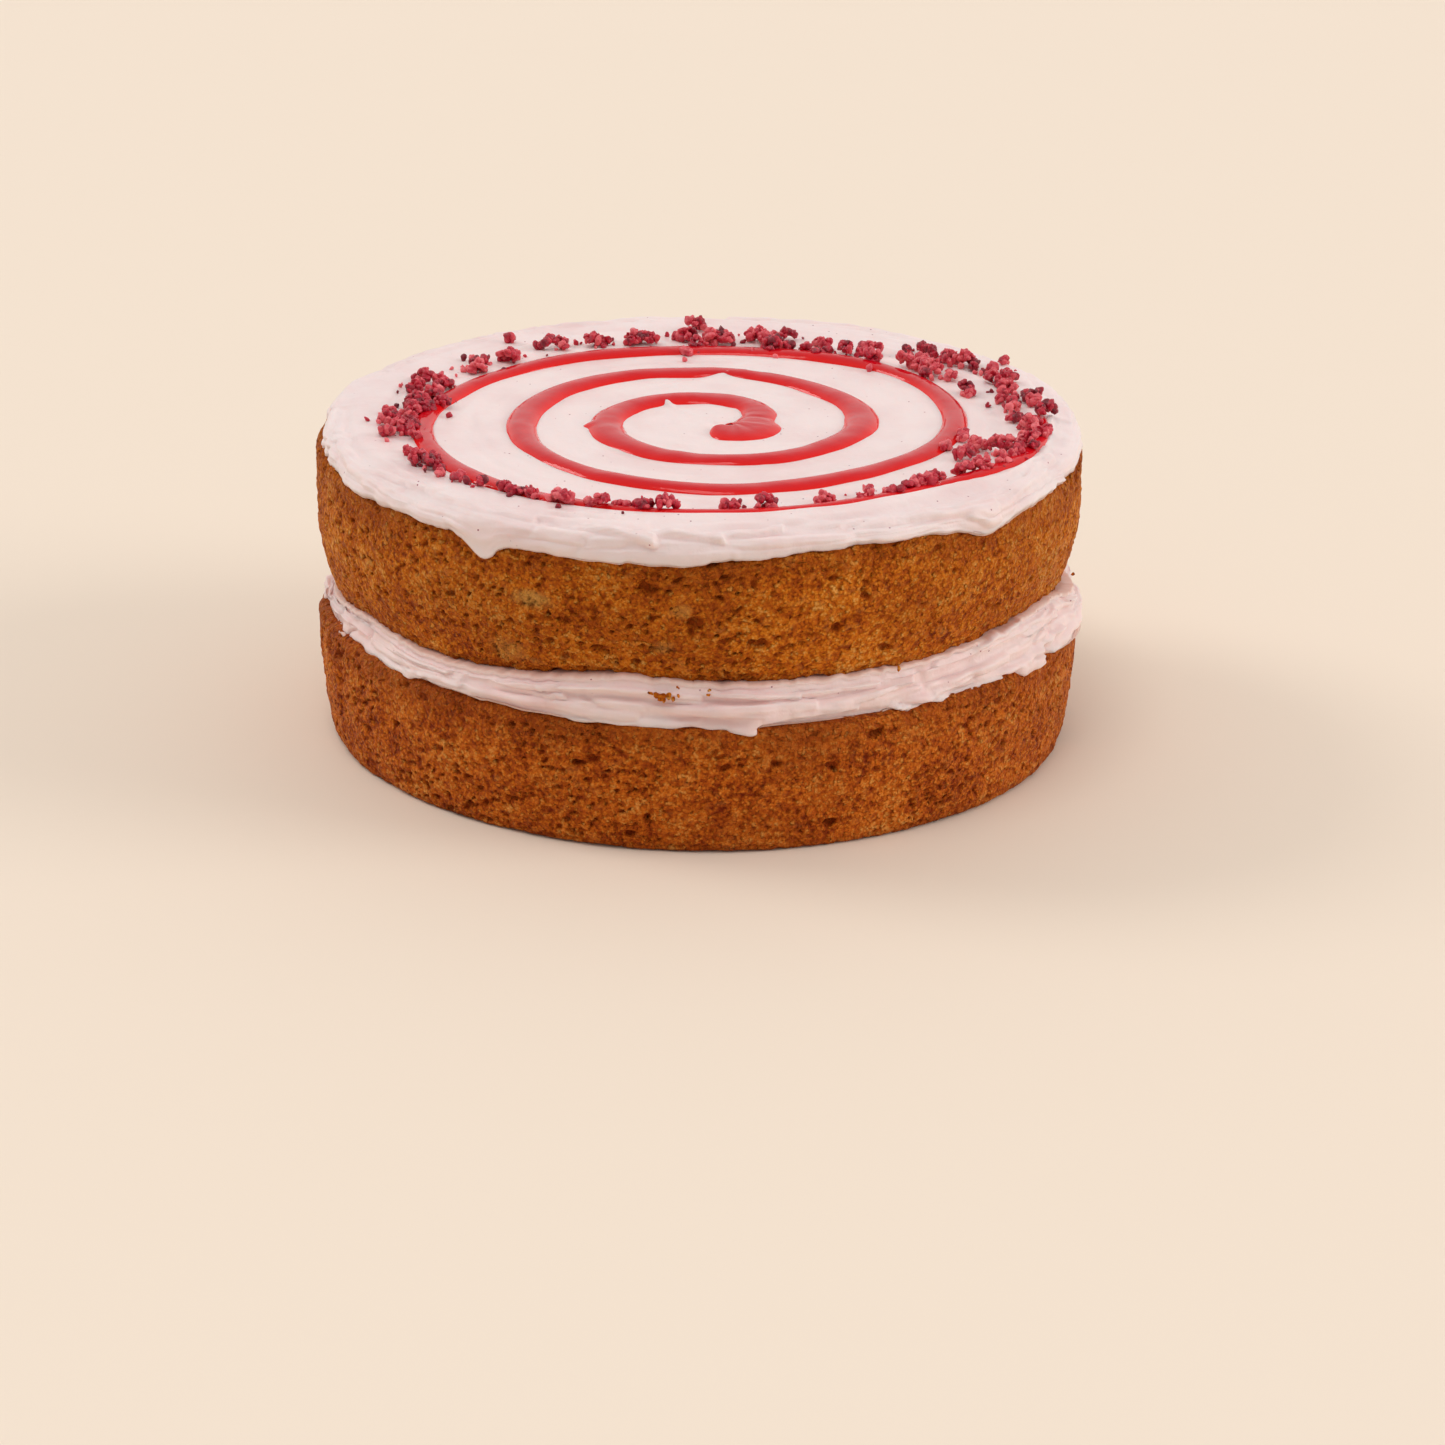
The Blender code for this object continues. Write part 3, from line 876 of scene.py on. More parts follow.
    @staticmethod
    def _spot(pit: Pit, angle: Array, z: Array, warp: Array) -> Array:
        """How near each point is to the middle of a spot with a ragged edge.

        Args:
            pit: The spot.
            angle: Angles of the columns.
            z: Heights of the points.
            warp: Fine noise at each point.

        Returns:
            From 0 outside the spot to 1 in its middle.
        """
        across = ((angle - pit.angle + 180) % 360 - 180) * math.radians(SIDE_RADIUS)
        aside = (across[None, :] + 1.3 * warp[..., 0]) / (pit.width / 2)
        along = (z - pit.z + 1.1 * warp[..., 2]) / (pit.height / 2)
        return ease((1.2 - np.hypot(aside, along)) * 1.25)


def spiral_radius(turn: Array) -> Array:
    """The jam's distance from the spiral's centre after this many degrees."""
    radius = SPIRAL_START + SPIRAL_PER_DEGREE * turn
    for middle, spread, distance in SPIRAL_WANDER:
        radius = radius + distance * np.exp(-(((turn - middle) / spread) ** 2))
    return radius


@dataclass(frozen=True)
class Stroke:
    """One pass of the knife round the side: a raised band with a soft start, and an end where it lifts."""

    start: float
    end: float
    low: float
    high: float
    half_height: float
    depth: float

    def relief(self, angle: Array, level: Array) -> Array:
        """The band's height.

        Args:
            angle: Angles of the columns.
            level: Millimetres up the band of cream, one row for each level.

        Returns:
            The height, 0 outside the stroke.
        """
        span = (self.end - self.start) % 360
        share = ((angle - self.start) % 360) / span
        middle = self.low + (self.high - self.low) * share + 0.35 * np.sin(share * 5 + self.start)
        side = (level - middle) / self.half_height
        body = np.clip(1 - np.where(side < 0, side**6, side**2), 0, 1)
        ends = ease(share * 3) * ease((1 - share) * span * 1.4)
        ripple = 0.10 * np.sin(side * 9) + 0.12 * np.sin(share * span * 0.9 + self.low * 5)
        return self.depth * body * (1 + ripple) * np.where(share < 1, ends, 0.0)


@dataclass(frozen=True)
class Knife:
    """Palette-knife work on a band of cream: chosen strokes, random ones, and fine streaks along them."""

    seed: int
    height: float
    strokes: tuple[Stroke, ...] = ()
    count: int = 84
    lengths: tuple[float, float] = (5.0, 24.0)
    half_heights: tuple[float, float] = (0.9, 2.3)
    depths: tuple[float, float] = (0.4, 1.9)
    lean: float = 3.6
    streak_depth: float = 0.22
    crease_depth: float = 0.55

    def relief(self, angle: Array, level: Array) -> Array:
        """The strokes laid over each other, the highest one showing.

        Args:
            angle: Angles of the columns, as one row.
            level: Millimetres up the band of cream, one row for each level.

        Returns:
            The relief at each point.
        """
        draw = random.Random(self.seed)
        total = np.zeros(np.broadcast(angle, level).shape)
        passes = list(self.strokes)
        for _ in range(self.count):
            start, length = draw.uniform(0, 360), draw.uniform(*self.lengths)
            low = draw.uniform(0, self.height)
            passes.append(Stroke(start, start + length, low, low + draw.uniform(-self.lean, self.lean),
                                 draw.uniform(*self.half_heights), draw.uniform(*self.depths)))
        for stroke in passes:
            total = np.maximum(total, stroke.relief(angle, level))
        noise = Noise(self.seed)
        drift = 1.2 * np.sin(np.radians(2 * angle + 60)) + 0.7 * np.sin(np.radians(5 * angle))
        streaks = 0.6 * noise.smooth(ring_points(6.0, angle, level + drift), 1.1)
        streaks += 0.4 * noise.smooth(ring_points(11.0, angle, level + drift + 50.0), 0.6)
        lines = noise.smooth(ring_points(26.0, angle, level * 1.3 + drift), 2.8)
        creases = np.exp(-((lines / 0.11) ** 2))
        patches = ease(noise.smooth(ring_points(30.0, angle, level * 0.4 + 90.0), 4.0) * 2 + 0.2)
        return total + self.streak_depth * streaks - self.crease_depth * creases * patches


def crest_level(angle: Array) -> Array:
    """The height of the icing's raised lip at its crest."""
    return ICING_TOP + CREST_RISE + bumps(CREST_BUMPS, angle)


def about_spiral(x: Array, y: Array) -> tuple[Array, Array]:
    """The distance from the spiral's centre and the angle round it, from 0 to 360."""
    across, along = x - SPIRAL_CENTRE[0], y - SPIRAL_CENTRE[1]
    return np.hypot(across, along), np.degrees(np.arctan2(along, across)) % 360


def shoulder_radius(side: Array, below: Array) -> Array:
    """A sponge's radius on its rounded shoulder, from its side's radius and how far below its top."""
    drop = np.clip(below / SHOULDER_FILLET, 0, 1)
    return side - SHOULDER_FILLET + SHOULDER_FILLET * np.sqrt(1 - (1 - drop) ** 2)


def way_along(radius: Array, z: Array) -> Array:
    """How far each level is from the first, measured along the mean outline."""
    return np.concatenate([[0], np.cumsum(np.hypot(np.diff(radius.mean(1)), np.diff(z.mean(1))))])


@dataclass
class Icing:
    """Cream spread with a palette knife: a swept top, a raised lip and a folded face that drips a little."""

    finish: CreamFinish
    seed: int = 31
    columns: int = 960
    top_step: float = 1.15
    sweep_depth: float = 0.30
    stroke_depth: float = 0.55
    node: str = "icing"
    knife: Knife = Knife(37, 13.0, count=56, lengths=(14.0, 50.0), half_heights=(1.0, 2.4),
                         depths=(0.3, 1.15), streak_depth=0.30, crease_depth=0.4, strokes=(
        Stroke(222, 246, 9.5, 7.2, 1.6, 1.3), Stroke(250, 264.5, 7.8, 4.6, 1.7, 1.9),
        Stroke(262, 274, 8.2, 4.8, 1.5, 1.7), Stroke(272, 283, 6.0, 8.6, 1.5, 1.4),
        Stroke(284, 300, 9.0, 7.4, 1.8, 1.3), Stroke(298, 317.5, 7.8, 4.4, 2.2, 1.9),
        Stroke(309, 317.2, 4.6, 2.8, 2.0, 2.1), Stroke(318, 340, 5.2, 7.6, 1.7, 1.3),
        Stroke(205, 226, 6.5, 9.5, 1.6, 1.2)))
    drips: Rows = ((232, 239.6, 0.9), (250, 259, 0.5), (263, 271, 0.4), (303, 318.4, 0.3), (50, 63, 1.2),
                   (84, 99, 1.3))
    overhangs: Rows = ((254, 15, 1.6), (286, 7, 0.9), (226, 8, 0.7), (318, 8, 1.3), (20, 14, 1.1),
                       (75, 18, 1.3), (130, 14, 1.1), (170, 9, 0.8))
    ridges: Rows = ((270, 9, 0.7), (286, 8, 1.0), (302, 9, 1.3), (318, 9, 1.2), (333, 8, 0.9),
                    (240, 14, 0.5), (205, 14, 0.4))
    # Rows of (x, y, spread, height): the tip that the knife left in the middle.
    peaks: tuple[tuple[float, float, float, float], ...] = (
        (-9.0, 12.0, 1.1, 1.3), (-7.6, 10.2, 1.1, 0.7), (-6.0, 7.4, 1.2, 0.5), (-3.5, 4.0, 1.6, 0.35))
    flap_place: tuple[float, float] = (10.5, 37.5)
    flap_half: tuple[float, float] = (8.5, 2.6)
    flap_height: float = 1.5
    ridge_place: float = 4.6  # how far outside the spiral's middle line
    ridge_spreads: tuple[float, float] = (1.5, 3.4)
    lip_width: float = 9.0
    lip_edge: int = 5  # the level of the lip's lower edge
    under_rings: tuple[float, float] = (4.0, 60.0)
    strides_within: tuple[tuple[float, int], ...] = ((5, 16), (12, 8), (26, 4), (52, 2))

    def sweep(self, x: Array, y: Array) -> Array:
        """Knife sweeps on the top, which follow the spiral.

        Args:
            x: Places on the top.
            y: Places on the top.

        Returns:
            The relief there, about -1 to 1.
        """
        out, turn = about_spiral(x, y)
        across = (out - SPIRAL_START - SPIRAL_PER_DEGREE * turn) / (SPIRAL_PER_DEGREE * 360)
        ridges = np.cos(2 * np.pi * across * 3) * 0.45
        wander = ring_points(3.0 + across, turn, out * 0.35)
        return ridges * (0.5 + 0.5 * Noise(self.seed).smooth(wander, 2.4)) + Noise(self.seed + 1).smooth(
            ring_points(out * 0.10 + 2.5, turn, out), 2.2)

    def ridge(self, x: Array, y: Array) -> Array:
        """The low wall that the knife left outside the spiral's last turn.

        Args:
            x: Places on the top.
            y: Places on the top.

        Returns:
            Its height there.
        """
        out, angle = about_spiral(x, y)
        aside = out - spiral_radius(720 + angle) - self.ridge_place
        wall = np.exp(-((aside / np.where(aside < 0, *self.ridge_spreads)) ** 2))
        return bumps(self.ridges, angle) * wall

    def top(self, x: Array, y: Array, detail: bool = True) -> Array:
        """The top surface inside the lip's crest.

        Args:
            x: Places on the top.
            y: Places on the top.
            detail: Whether knife sweeps and peaks are added.

        Returns:
            The heights.
        """
        radius = np.hypot(x, y)
        crest = crest_level(np.degrees(np.arctan2(y, x)))
        up_lip = ease((radius - CREST_RADIUS + self.lip_width) / self.lip_width)
        height = ICING_TOP + (crest - ICING_TOP) * up_lip
        if not detail:
            return height
        height = height + self.sweep_depth * self.sweep(x, y) * ease((CREST_RADIUS - 4 - radius) / 8)
        for at_x, at_y, spread, rise in self.peaks:
            height = height + rise * np.exp(-((x - at_x) ** 2 + (y - at_y) ** 2) / spread**2)
        height = height + self.ridge(x, y)
        aside = (x - self.flap_place[0]) / self.flap_half[0]
        along = (y - self.flap_place[1] + 0.02 * (x - 10) ** 2) / self.flap_half[1]
        return height + self.flap_height * (np.exp(-(aside**4)) * np.exp(-(along**2)))

    def outline(self, angle: Array) -> tuple[Array, Array]:
        """The lip from its underside over the crest.

        Args:
            angle: Angles of the columns.

        Returns:
            Radii and heights, one row for each level.
        """
        noise = Noise(self.seed + 3)
        around = ring_points(SIDE_RADIUS, angle, 0.0)
        low = ICING_LOW + bumps(ICING_LOW_BUMPS, angle) + 0.45 * noise.fractal(around, 3.6, 3)
        low = low + 0.3 * ease(noise.smooth(around + 60.0, 7.0) * 3) - drips(self.drips, angle)
        edge = ICING_EDGE_TOP + 0.4 * bumps(CREST_BUMPS, angle)
        crest = crest_level(angle)
        face = ICING_FACE_RADIUS + bumps(ICING_FACE_BUMPS, angle) + 0.5 * noise.fractal(around, 11.0, 2)
        top = upper_top(angle)
        side = side_radius(UPPER_RADII, angle, top - SHOULDER_FILLET - upper_foot(angle, UNDERSIDE_RIM))
        touch = shoulder_radius(side, top - low) + 0.4
        face = np.maximum(face - 0.9, touch + 0.2)
        hang = bumps(self.overhangs, angle)
        knots = [
            # under the lip, on the sponge's shoulder
            (touch - 9.0, np.minimum(top, low + 0.8)), (touch - 1.2, low + 0.35), (touch + 0.1, low - 0.1),
            # its lower edge
            (touch + 0.45 * (face - touch), low + 0.05),
            (np.maximum(face - 0.25 - hang, touch + 0.3), low + 0.7),
            # its face, which leans in towards the top
            (np.maximum(face - 0.1 - hang, touch + 0.3), low + 0.42 * (edge - low)),
            (face - 0.3, low + 0.6 * (edge - low)), (face - 0.9, edge - 0.45), (face - 2.2, edge + 0.25),
            # over to the crest
            (face - 5.2, 0.6 * edge + 0.4 * crest + 0.15),
            (CREST_RADIUS + 3.5 + 0 * angle, crest - 0.12), (CREST_RADIUS + 0 * angle, crest),
        ]
        return spline(knots, (2, 3, 3, 4, 5, 5, 5, 4, 6, 5, 4))

    def build(self) -> list[bpy.types.Object]:
        """Makes the icing. Returns its object."""
        angle = column_angles(self.columns)
        radius, z = self.outline(angle)
        length = way_along(radius, z)
        length -= length[self.lip_edge]
        inner, outer = self.under_rings
        under = [ring_points(inner, angle, UPPER_TOP), ring_points(outer, angle, upper_top(angle))]
        lip = self._lip(angle, radius, z, length)
        rings = np.arange(CREST_RADIUS - self.top_step, 1.0, -self.top_step)
        grid = np.concatenate([np.array(under), lip, self._flat(angle, rings)])
        # The brown tint where the cream meets the sponge, partly stain and partly painted shade; full under
        # the lip.
        near = np.concatenate([[1.0, 1.0], join_stain_and_shade(length), np.zeros(len(rings))])
        strides = [16, 4] + [1] * len(lip)
        strides += [next((stride for reach, stride in self.strides_within if ring <= reach), 1)
                    for ring in rings]
        looks = {"near": np.repeat(near[:, None], self.columns, axis=1)}
        piece = Shell(grid, strides).build("icing_cream", looks)
        piece.data.materials.append(self.finish.material())
        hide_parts(self.node)
        return [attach(piece, BODY)]

    def _lip(self, angle: Array, radius: Array, z: Array, length: Array) -> Array:
        """The lip with the knife's folds on it.

        Args:
            angle: Angles of the columns.
            radius: Radii of the smooth outline.
            z: Its heights.
            length: How far each level is along it from the lower edge.

        Returns:
            The points.
        """
        lip = ring_points(radius, angle[None, :], z)
        relief = self.knife.relief(angle[None, :], length[:, None])
        relief += 0.3 * Noise(self.seed + 9).fractal(ring_points(SIDE_RADIUS, angle[None, :], z), 7.0, 2)
        strength = ease((length + 1.2) / 2.0) * ease((length[-1] - length) / 7)
        folds = np.where(relief > 0, relief, 0.6 * relief) * strength[:, None]
        lip = within_box(lip + Shell.normals(lip) * folds[..., None])
        lip[..., 2] += self.ridge(lip[..., 0], lip[..., 1])
        return lip

    def _flat(self, angle: Array, rings: Array) -> Array:
        """The top inside the lip's crest.

        Args:
            angle: Angles of the columns.
            rings: The radius of each level.

        Returns:
            The points.
        """
        out = rings[:, None]
        flat = ring_points(out, angle[None, :], 0.0)
        flat[..., 2] = self.top(flat[..., 0], flat[..., 1])
        stroke = Noise(self.seed + 9).smooth(ring_points(5.0, angle[None, :], out + 200.0), 1.9)
        fade = ease((out - 73) / 6) * ease((CREST_RADIUS + 1 - out) / 4 + 0.3)
        flat[..., 2] += self.stroke_depth * stroke * fade
        return flat


def join_stain_and_shade(distance: Array) -> Array:
    """How much the cream is tinted brown near the sponge that it touches, from its distance to the edge:
    partly a stain from the crumb and partly painted shade at the join.
    """
    return 0.5 * np.exp(-((np.maximum(distance, 0.0) / 0.4) ** 2))


def drips(rows: Rows, angle: Array) -> Array:
    """How far an edge of cream hangs where the knife dragged it down and then lifted.

    Args:
        rows: Angle where each starts, angle where it ends and how far it hangs there.
        angle: Where to read them.

    Returns:
        The drop at each angle.
    """
    drop = np.zeros_like(angle, dtype=float)
    for start, end, depth in rows:
        share = ((angle - start) % 360) / (end - start)
        drop = np.maximum(drop, depth * ease(share) ** 1.5 * ease((1.12 - share) * 8) * (share < 1.12))
    return drop


def spline(knots: Sequence[tuple[Array, Array]],
           steps: Sequence[int]) -> tuple[Array, Array]:
    """A smooth curve through knots.

    Args:
        knots: The radius and the height of each.
        steps: How many levels from each knot to the next.

    Returns:
        Radii and heights of the levels.
    """
    rows = np.array(knots)
    levels = []
    for knot, count in enumerate(steps):
        around = [min(max(knot + k, 0), len(rows) - 1) for k in (-1, 0, 1, 2)]
        for step in range(count):
            t = step / count
            weights = (0.5 * (-t + 2 * t**2 - t**3), 0.5 * (2 - 5 * t**2 + 3 * t**3),
                       0.5 * (t + 4 * t**2 - 3 * t**3), 0.5 * (t**3 - t**2))
            levels.append(sum(weight * rows[k] for weight, k in zip(weights, around)))
    radius, z = np.stack([*levels, rows[-1]], axis=1)
    return radius, z


@dataclass
class Filling:
    """Cream squeezed between the sponges and drawn along by the knife, with smears on the lower sponge."""

    finish: CreamFinish
    seed: int = 53
    columns: int = 1152
    node: str = "filling"
    knife: Knife = Knife(59, 9.0, count=96, lengths=(6.0, 24.0), half_heights=(0.7, 1.6), depths=(0.5, 2.5),
                         lean=2.8, crease_depth=0.8, strokes=(
        Stroke(236, 271, 8.6, 6.6, 1.0, 1.2), Stroke(240, 262, 4.6, 2.6, 1.5, 1.0),
        Stroke(256, 279, 1.4, 1.0, 1.1, 1.1), Stroke(262, 274, 5.4, 3.9, 0.9, 0.9),
        Stroke(274, 298, 7.8, 7.2, 1.0, 0.9), Stroke(278, 312, 4.2, 3.4, 1.4, 0.8),
        Stroke(318, 346, 6.5, 4.2, 1.6, 0.9), Stroke(205, 232, 3.0, 4.6, 1.4, 0.8)))
    smears: Rows = ((200, 5, 0.9), (350, 9, 3.4), (336, 6, 1.0), (95, 9, 2.2), (150, 7, 1.6), (40, 8, 1.2))
    drips: Rows = ((264, 278.4, 1.0), (286, 297.6, 0.6), (208, 222, 0.7), (312, 330, 0.7))
    ledge: Rows = ((258, 14, 1.2), (330, 16, 0.7), (30, 30, 0.8), (120, 30, 0.8))
    band_edge: int = 6  # the level of the band's lower edge
    set_back: float = 1.0
    inner_rings: tuple[float, float] = (20.0, 70.0)

    def outline(self, angle: Array) -> tuple[Array, Array]:
        """The band from its underside over its face to its top.

        Args:
            angle: Angles of the columns.

        Returns:
            Radii and heights, one row for each level.
        """
        noise = Noise(self.seed)
        around = ring_points(FILLING_FACE_RADIUS, angle, 0.0)
        under = lower_top(angle) + 0.1
        over = upper_foot(angle, UNDERSIDE_RIM)
        thick = over - under
        face = FILLING_FACE_RADIUS + bumps(FILLING_FACE_BUMPS, angle) + 0.4 * noise.fractal(around, 9.0, 2)
        hang = bumps(self.smears, angle) + drips(self.drips, angle)
        hanging = np.maximum(hang + 0.35 * noise.fractal(around + 9.0, 3.0, 2), 0.0)
        foot_z = under - 0.5 - hanging
        side = side_radius(LOWER_RADII, angle, LOWER_TOP - SHOULDER_FILLET)
        touch = shoulder_radius(side, LOWER_TOP - foot_z) + 0.5
        draped = ease((hanging - 0.2) / 1.6)
        touch = draped * touch + (1 - draped) * np.minimum(touch, face - 0.8)
        belly = np.maximum(face, touch + 0.5)
        face = face + (belly - face) * ease((hanging - 1.6) / 2.0)
        groove = bumps(self.ledge, angle)
        torn = 0.9 * noise.fractal(around + 33.0, 2.4, 3, 0.6)
        return spline([
            # on the lower sponge and round the hanging edge
            (touch - 6.0, under - 0.3), (touch - 0.8, foot_z + 0.2), (touch + 0.15, foot_z - 0.15),
            (0.5 * (touch + belly) + 0.3, foot_z + 0.25),
            # up the face, with a groove above its middle
            (0.5 * (belly + face), under + 0.2 * thick), (face + 0.1, under + 0.45 * thick),
            (face - 0.5 - 0.8 * groove, under + 0.62 * thick),
            (face - 0.35 - 0.1 * groove, under + 0.76 * thick),
            # in under the upper sponge, where the edge is torn
            (face - 0.9, over - 0.12 * thick + 0.5 * torn), (face - 2.0, over + 0.3 + torn),
            (face - 8.0, over + 0.4),
        ], (2, 3, 4, 5, 5, 5, 5, 5, 4, 2))

    def build(self) -> list[bpy.types.Object]:
        """Makes the filling. Returns its object."""
        angle = column_angles(self.columns)
        radius, z = self.outline(angle)
        band = ring_points(radius, angle[None, :], z)
        length = way_along(radius, z)
        length -= length[self.band_edge]
        relief = self.knife.relief(angle[None, :], length[:, None]) - self.set_back
        shown = ease((length + 0.8) / 1.2) * ease((length[-3] - length) / 1.2)
        band = within_box(band + Shell.normals(band) * (relief * shown[:, None])[..., None])
        under = lower_top(angle) + 0.1
        inner, outer = self.inner_rings
        foot = [ring_points(inner, angle, under), ring_points(outer, angle, under)]
        roof = [ring_points(outer, angle, upper_foot(angle, outer)), ring_points(inner, angle, UPPER_FOOT)]
        grid = np.concatenate([np.array(foot), band, np.array(roof)])
        # The brown tint at the band's edges against the sponges, partly stain and partly painted shade.
        near = np.maximum(join_stain_and_shade(length), join_stain_and_shade(length[-3] - length))
        near = np.repeat(np.concatenate([[1.0, 1.0], near, [1.0, 1.0]])[:, None], self.columns, axis=1)
        piece = Shell(grid, [8, 2] + [1] * len(band) + [2, 8]).build("filling_cream", {"near": near})
        piece.data.materials.append(self.finish.material())
        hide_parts(self.node)
        return [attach(piece, BODY)]


@dataclass
class JamSpiral:
    """Jam piped in a spiral that opens from a blob near the middle."""

    icing: Icing
    finish: JamFinish
    seed: int = 71
    step: float = 1.4
    half_widths: tuple[float, float] = (4.6, 2.9)
    blob_widens: float = 3.6
    blob_turn: float = -38.0
    blob_spread: float = 36.0
    rise: float = 1.35
    sunk: float = 0.35
    floor_depth: float = 1.2
    spur_turn: float = 187.0
    spur_spread: float = 3.2
    spur_length: float = 1.4
    tapers: tuple[float, float] = (38.0, 40.0)
    least_half_width: float = 0.25
    sections: int = 22

    def half_width(self, turn: Array) -> Array:
        """Half the ribbon's width along the spiral.

        Args:
            turn: Degrees travelled.

        Returns:
            The half widths.
        """
        share = np.maximum(turn, 0) / SPIRAL_END_TURN
        width = self.half_widths[0] + (self.half_widths[1] - self.half_widths[0]) * share
        width = width + 0.3 * np.sin(np.radians(2.3 * turn)) * np.minimum(share * 8, 1)
        width = width + self.blob_widens * np.exp(-(((turn - self.blob_turn) / self.blob_spread) ** 2))
        width = width * ease((turn - BLOB_TURN + 4) / self.tapers[0])
        return np.maximum(width * ease((SPIRAL_END_TURN - turn + 8) / self.tapers[1]), self.least_half_width)

    def build(self) -> list[bpy.types.Object]:
        """Makes the jam. Returns its object."""
        turn = np.arange(BLOB_TURN, SPIRAL_END_TURN + 0.1, self.step)
        shares = np.sin(np.linspace(-0.5, 0.5, self.sections) * math.pi)
        loops = self._loops(turn, shares)
        places, count = loops.shape[:2]
        faces: list[tuple[int, ...]] = []
        for start in range(0, (places - 1) * count, count):
            for side in range(count):
                here, after = start + side, start + (side + 1) % count
                faces.append((here, after, after + count, here + count))
        faces.append(tuple(range(count))[::-1])
        faces.append(tuple(range((places - 1) * count, places * count)))
        mesh = bpy.data.meshes.new("jam_spiral")
        mesh.from_pydata([tuple(point) for point in loops.reshape(-1, 3) * MM], [], faces)
        thick = np.array([*(1 - np.abs(shares) ** 2.5), 0.0, 0.0])
        layer = mesh.attributes.new("thick", "FLOAT", "POINT")
        layer.data.foreach_set("value", np.tile(thick, places).astype(np.float32))
        piece = link("jam_spiral", mesh)
        outward(piece)
        piece.data.materials.append(self.finish.material())
        return [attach(piece, BODY)]

    def _loops(self, turn: Array, shares: Array) -> Array:
        """The ribbon's closed outline at each place along the spiral.

        Args:
            turn: Degrees travelled at each place.
            shares: Where across the ribbon each point of its upper side lies, -1 to 1.

        Returns:
            The points: one row for each place, then round the outline.
        """
        lean, radius, half = np.radians(turn), spiral_radius(turn), self.half_width(turn)
        middle = np.stack([SPIRAL_CENTRE[0] + radius * np.cos(lean),
                           SPIRAL_CENTRE[1] + radius * np.sin(lean)], axis=-1)
        along = np.gradient(middle, axis=0)
        along /= np.linalg.norm(along, axis=-1, keepdims=True)
        across = np.stack([along[:, 1], -along[:, 0]], axis=-1)
        noise = Noise(self.seed)
        run = np.stack([turn * 0.9, 0 * turn, 0 * turn], axis=-1)
        edges = {side: 0.5 * noise.fractal(run + 300 * (side > 0), 15.0, 3) for side in (-1, 1)}
        spur = self.spur_length * np.exp(-(((turn - self.spur_turn) / self.spur_spread) ** 2))
        rows = []
        for share in shares:
            wide = half + edges[1 if share > 0 else -1] * np.minimum(half / 3, 1) + (spur if share > 0 else 0)
            if share < 0:
                wide = np.minimum(wide, 0.8 * radius)
            dome = (1 - abs(share) ** 2.6) ** 0.8
            lift = -self.sunk + (self.rise + self.sunk) * dome * np.minimum(half / self.half_widths[1], 1)
            ripple = noise.smooth(np.stack([turn, 0 * turn + share * 5, 0 * turn], axis=-1), 9.0)
            lift = lift + 0.16 * ripple * dome
            rows.append(self._on_icing(middle + across * (wide * share)[:, None], lift))
        for share in (1, -1):
            rows.append(self._on_icing(middle + across * (half * 0.9 * share)[:, None], -self.floor_depth))
        return np.stack(rows, axis=1)

    def _on_icing(self, spot: Array, lift: Array | float) -> Array:
        """Points that lie this far above the icing at these places."""
        return np.column_stack([spot, self.icing.top(spot[:, 0], spot[:, 1], False) + lift])


def outward(piece: bpy.types.Object) -> None:
    """Turns a closed mesh's faces to point outwards.

    Args:
        piece: The object whose mesh is turned where its volume is negative.
    """
    shape = bmesh.new()
    shape.from_mesh(piece.data)
    if shape.calc_volume(signed=True) < 0:
        bmesh.ops.reverse_faces(shape, faces=shape.faces)
    shape.to_mesh(piece.data)
    shape.free()


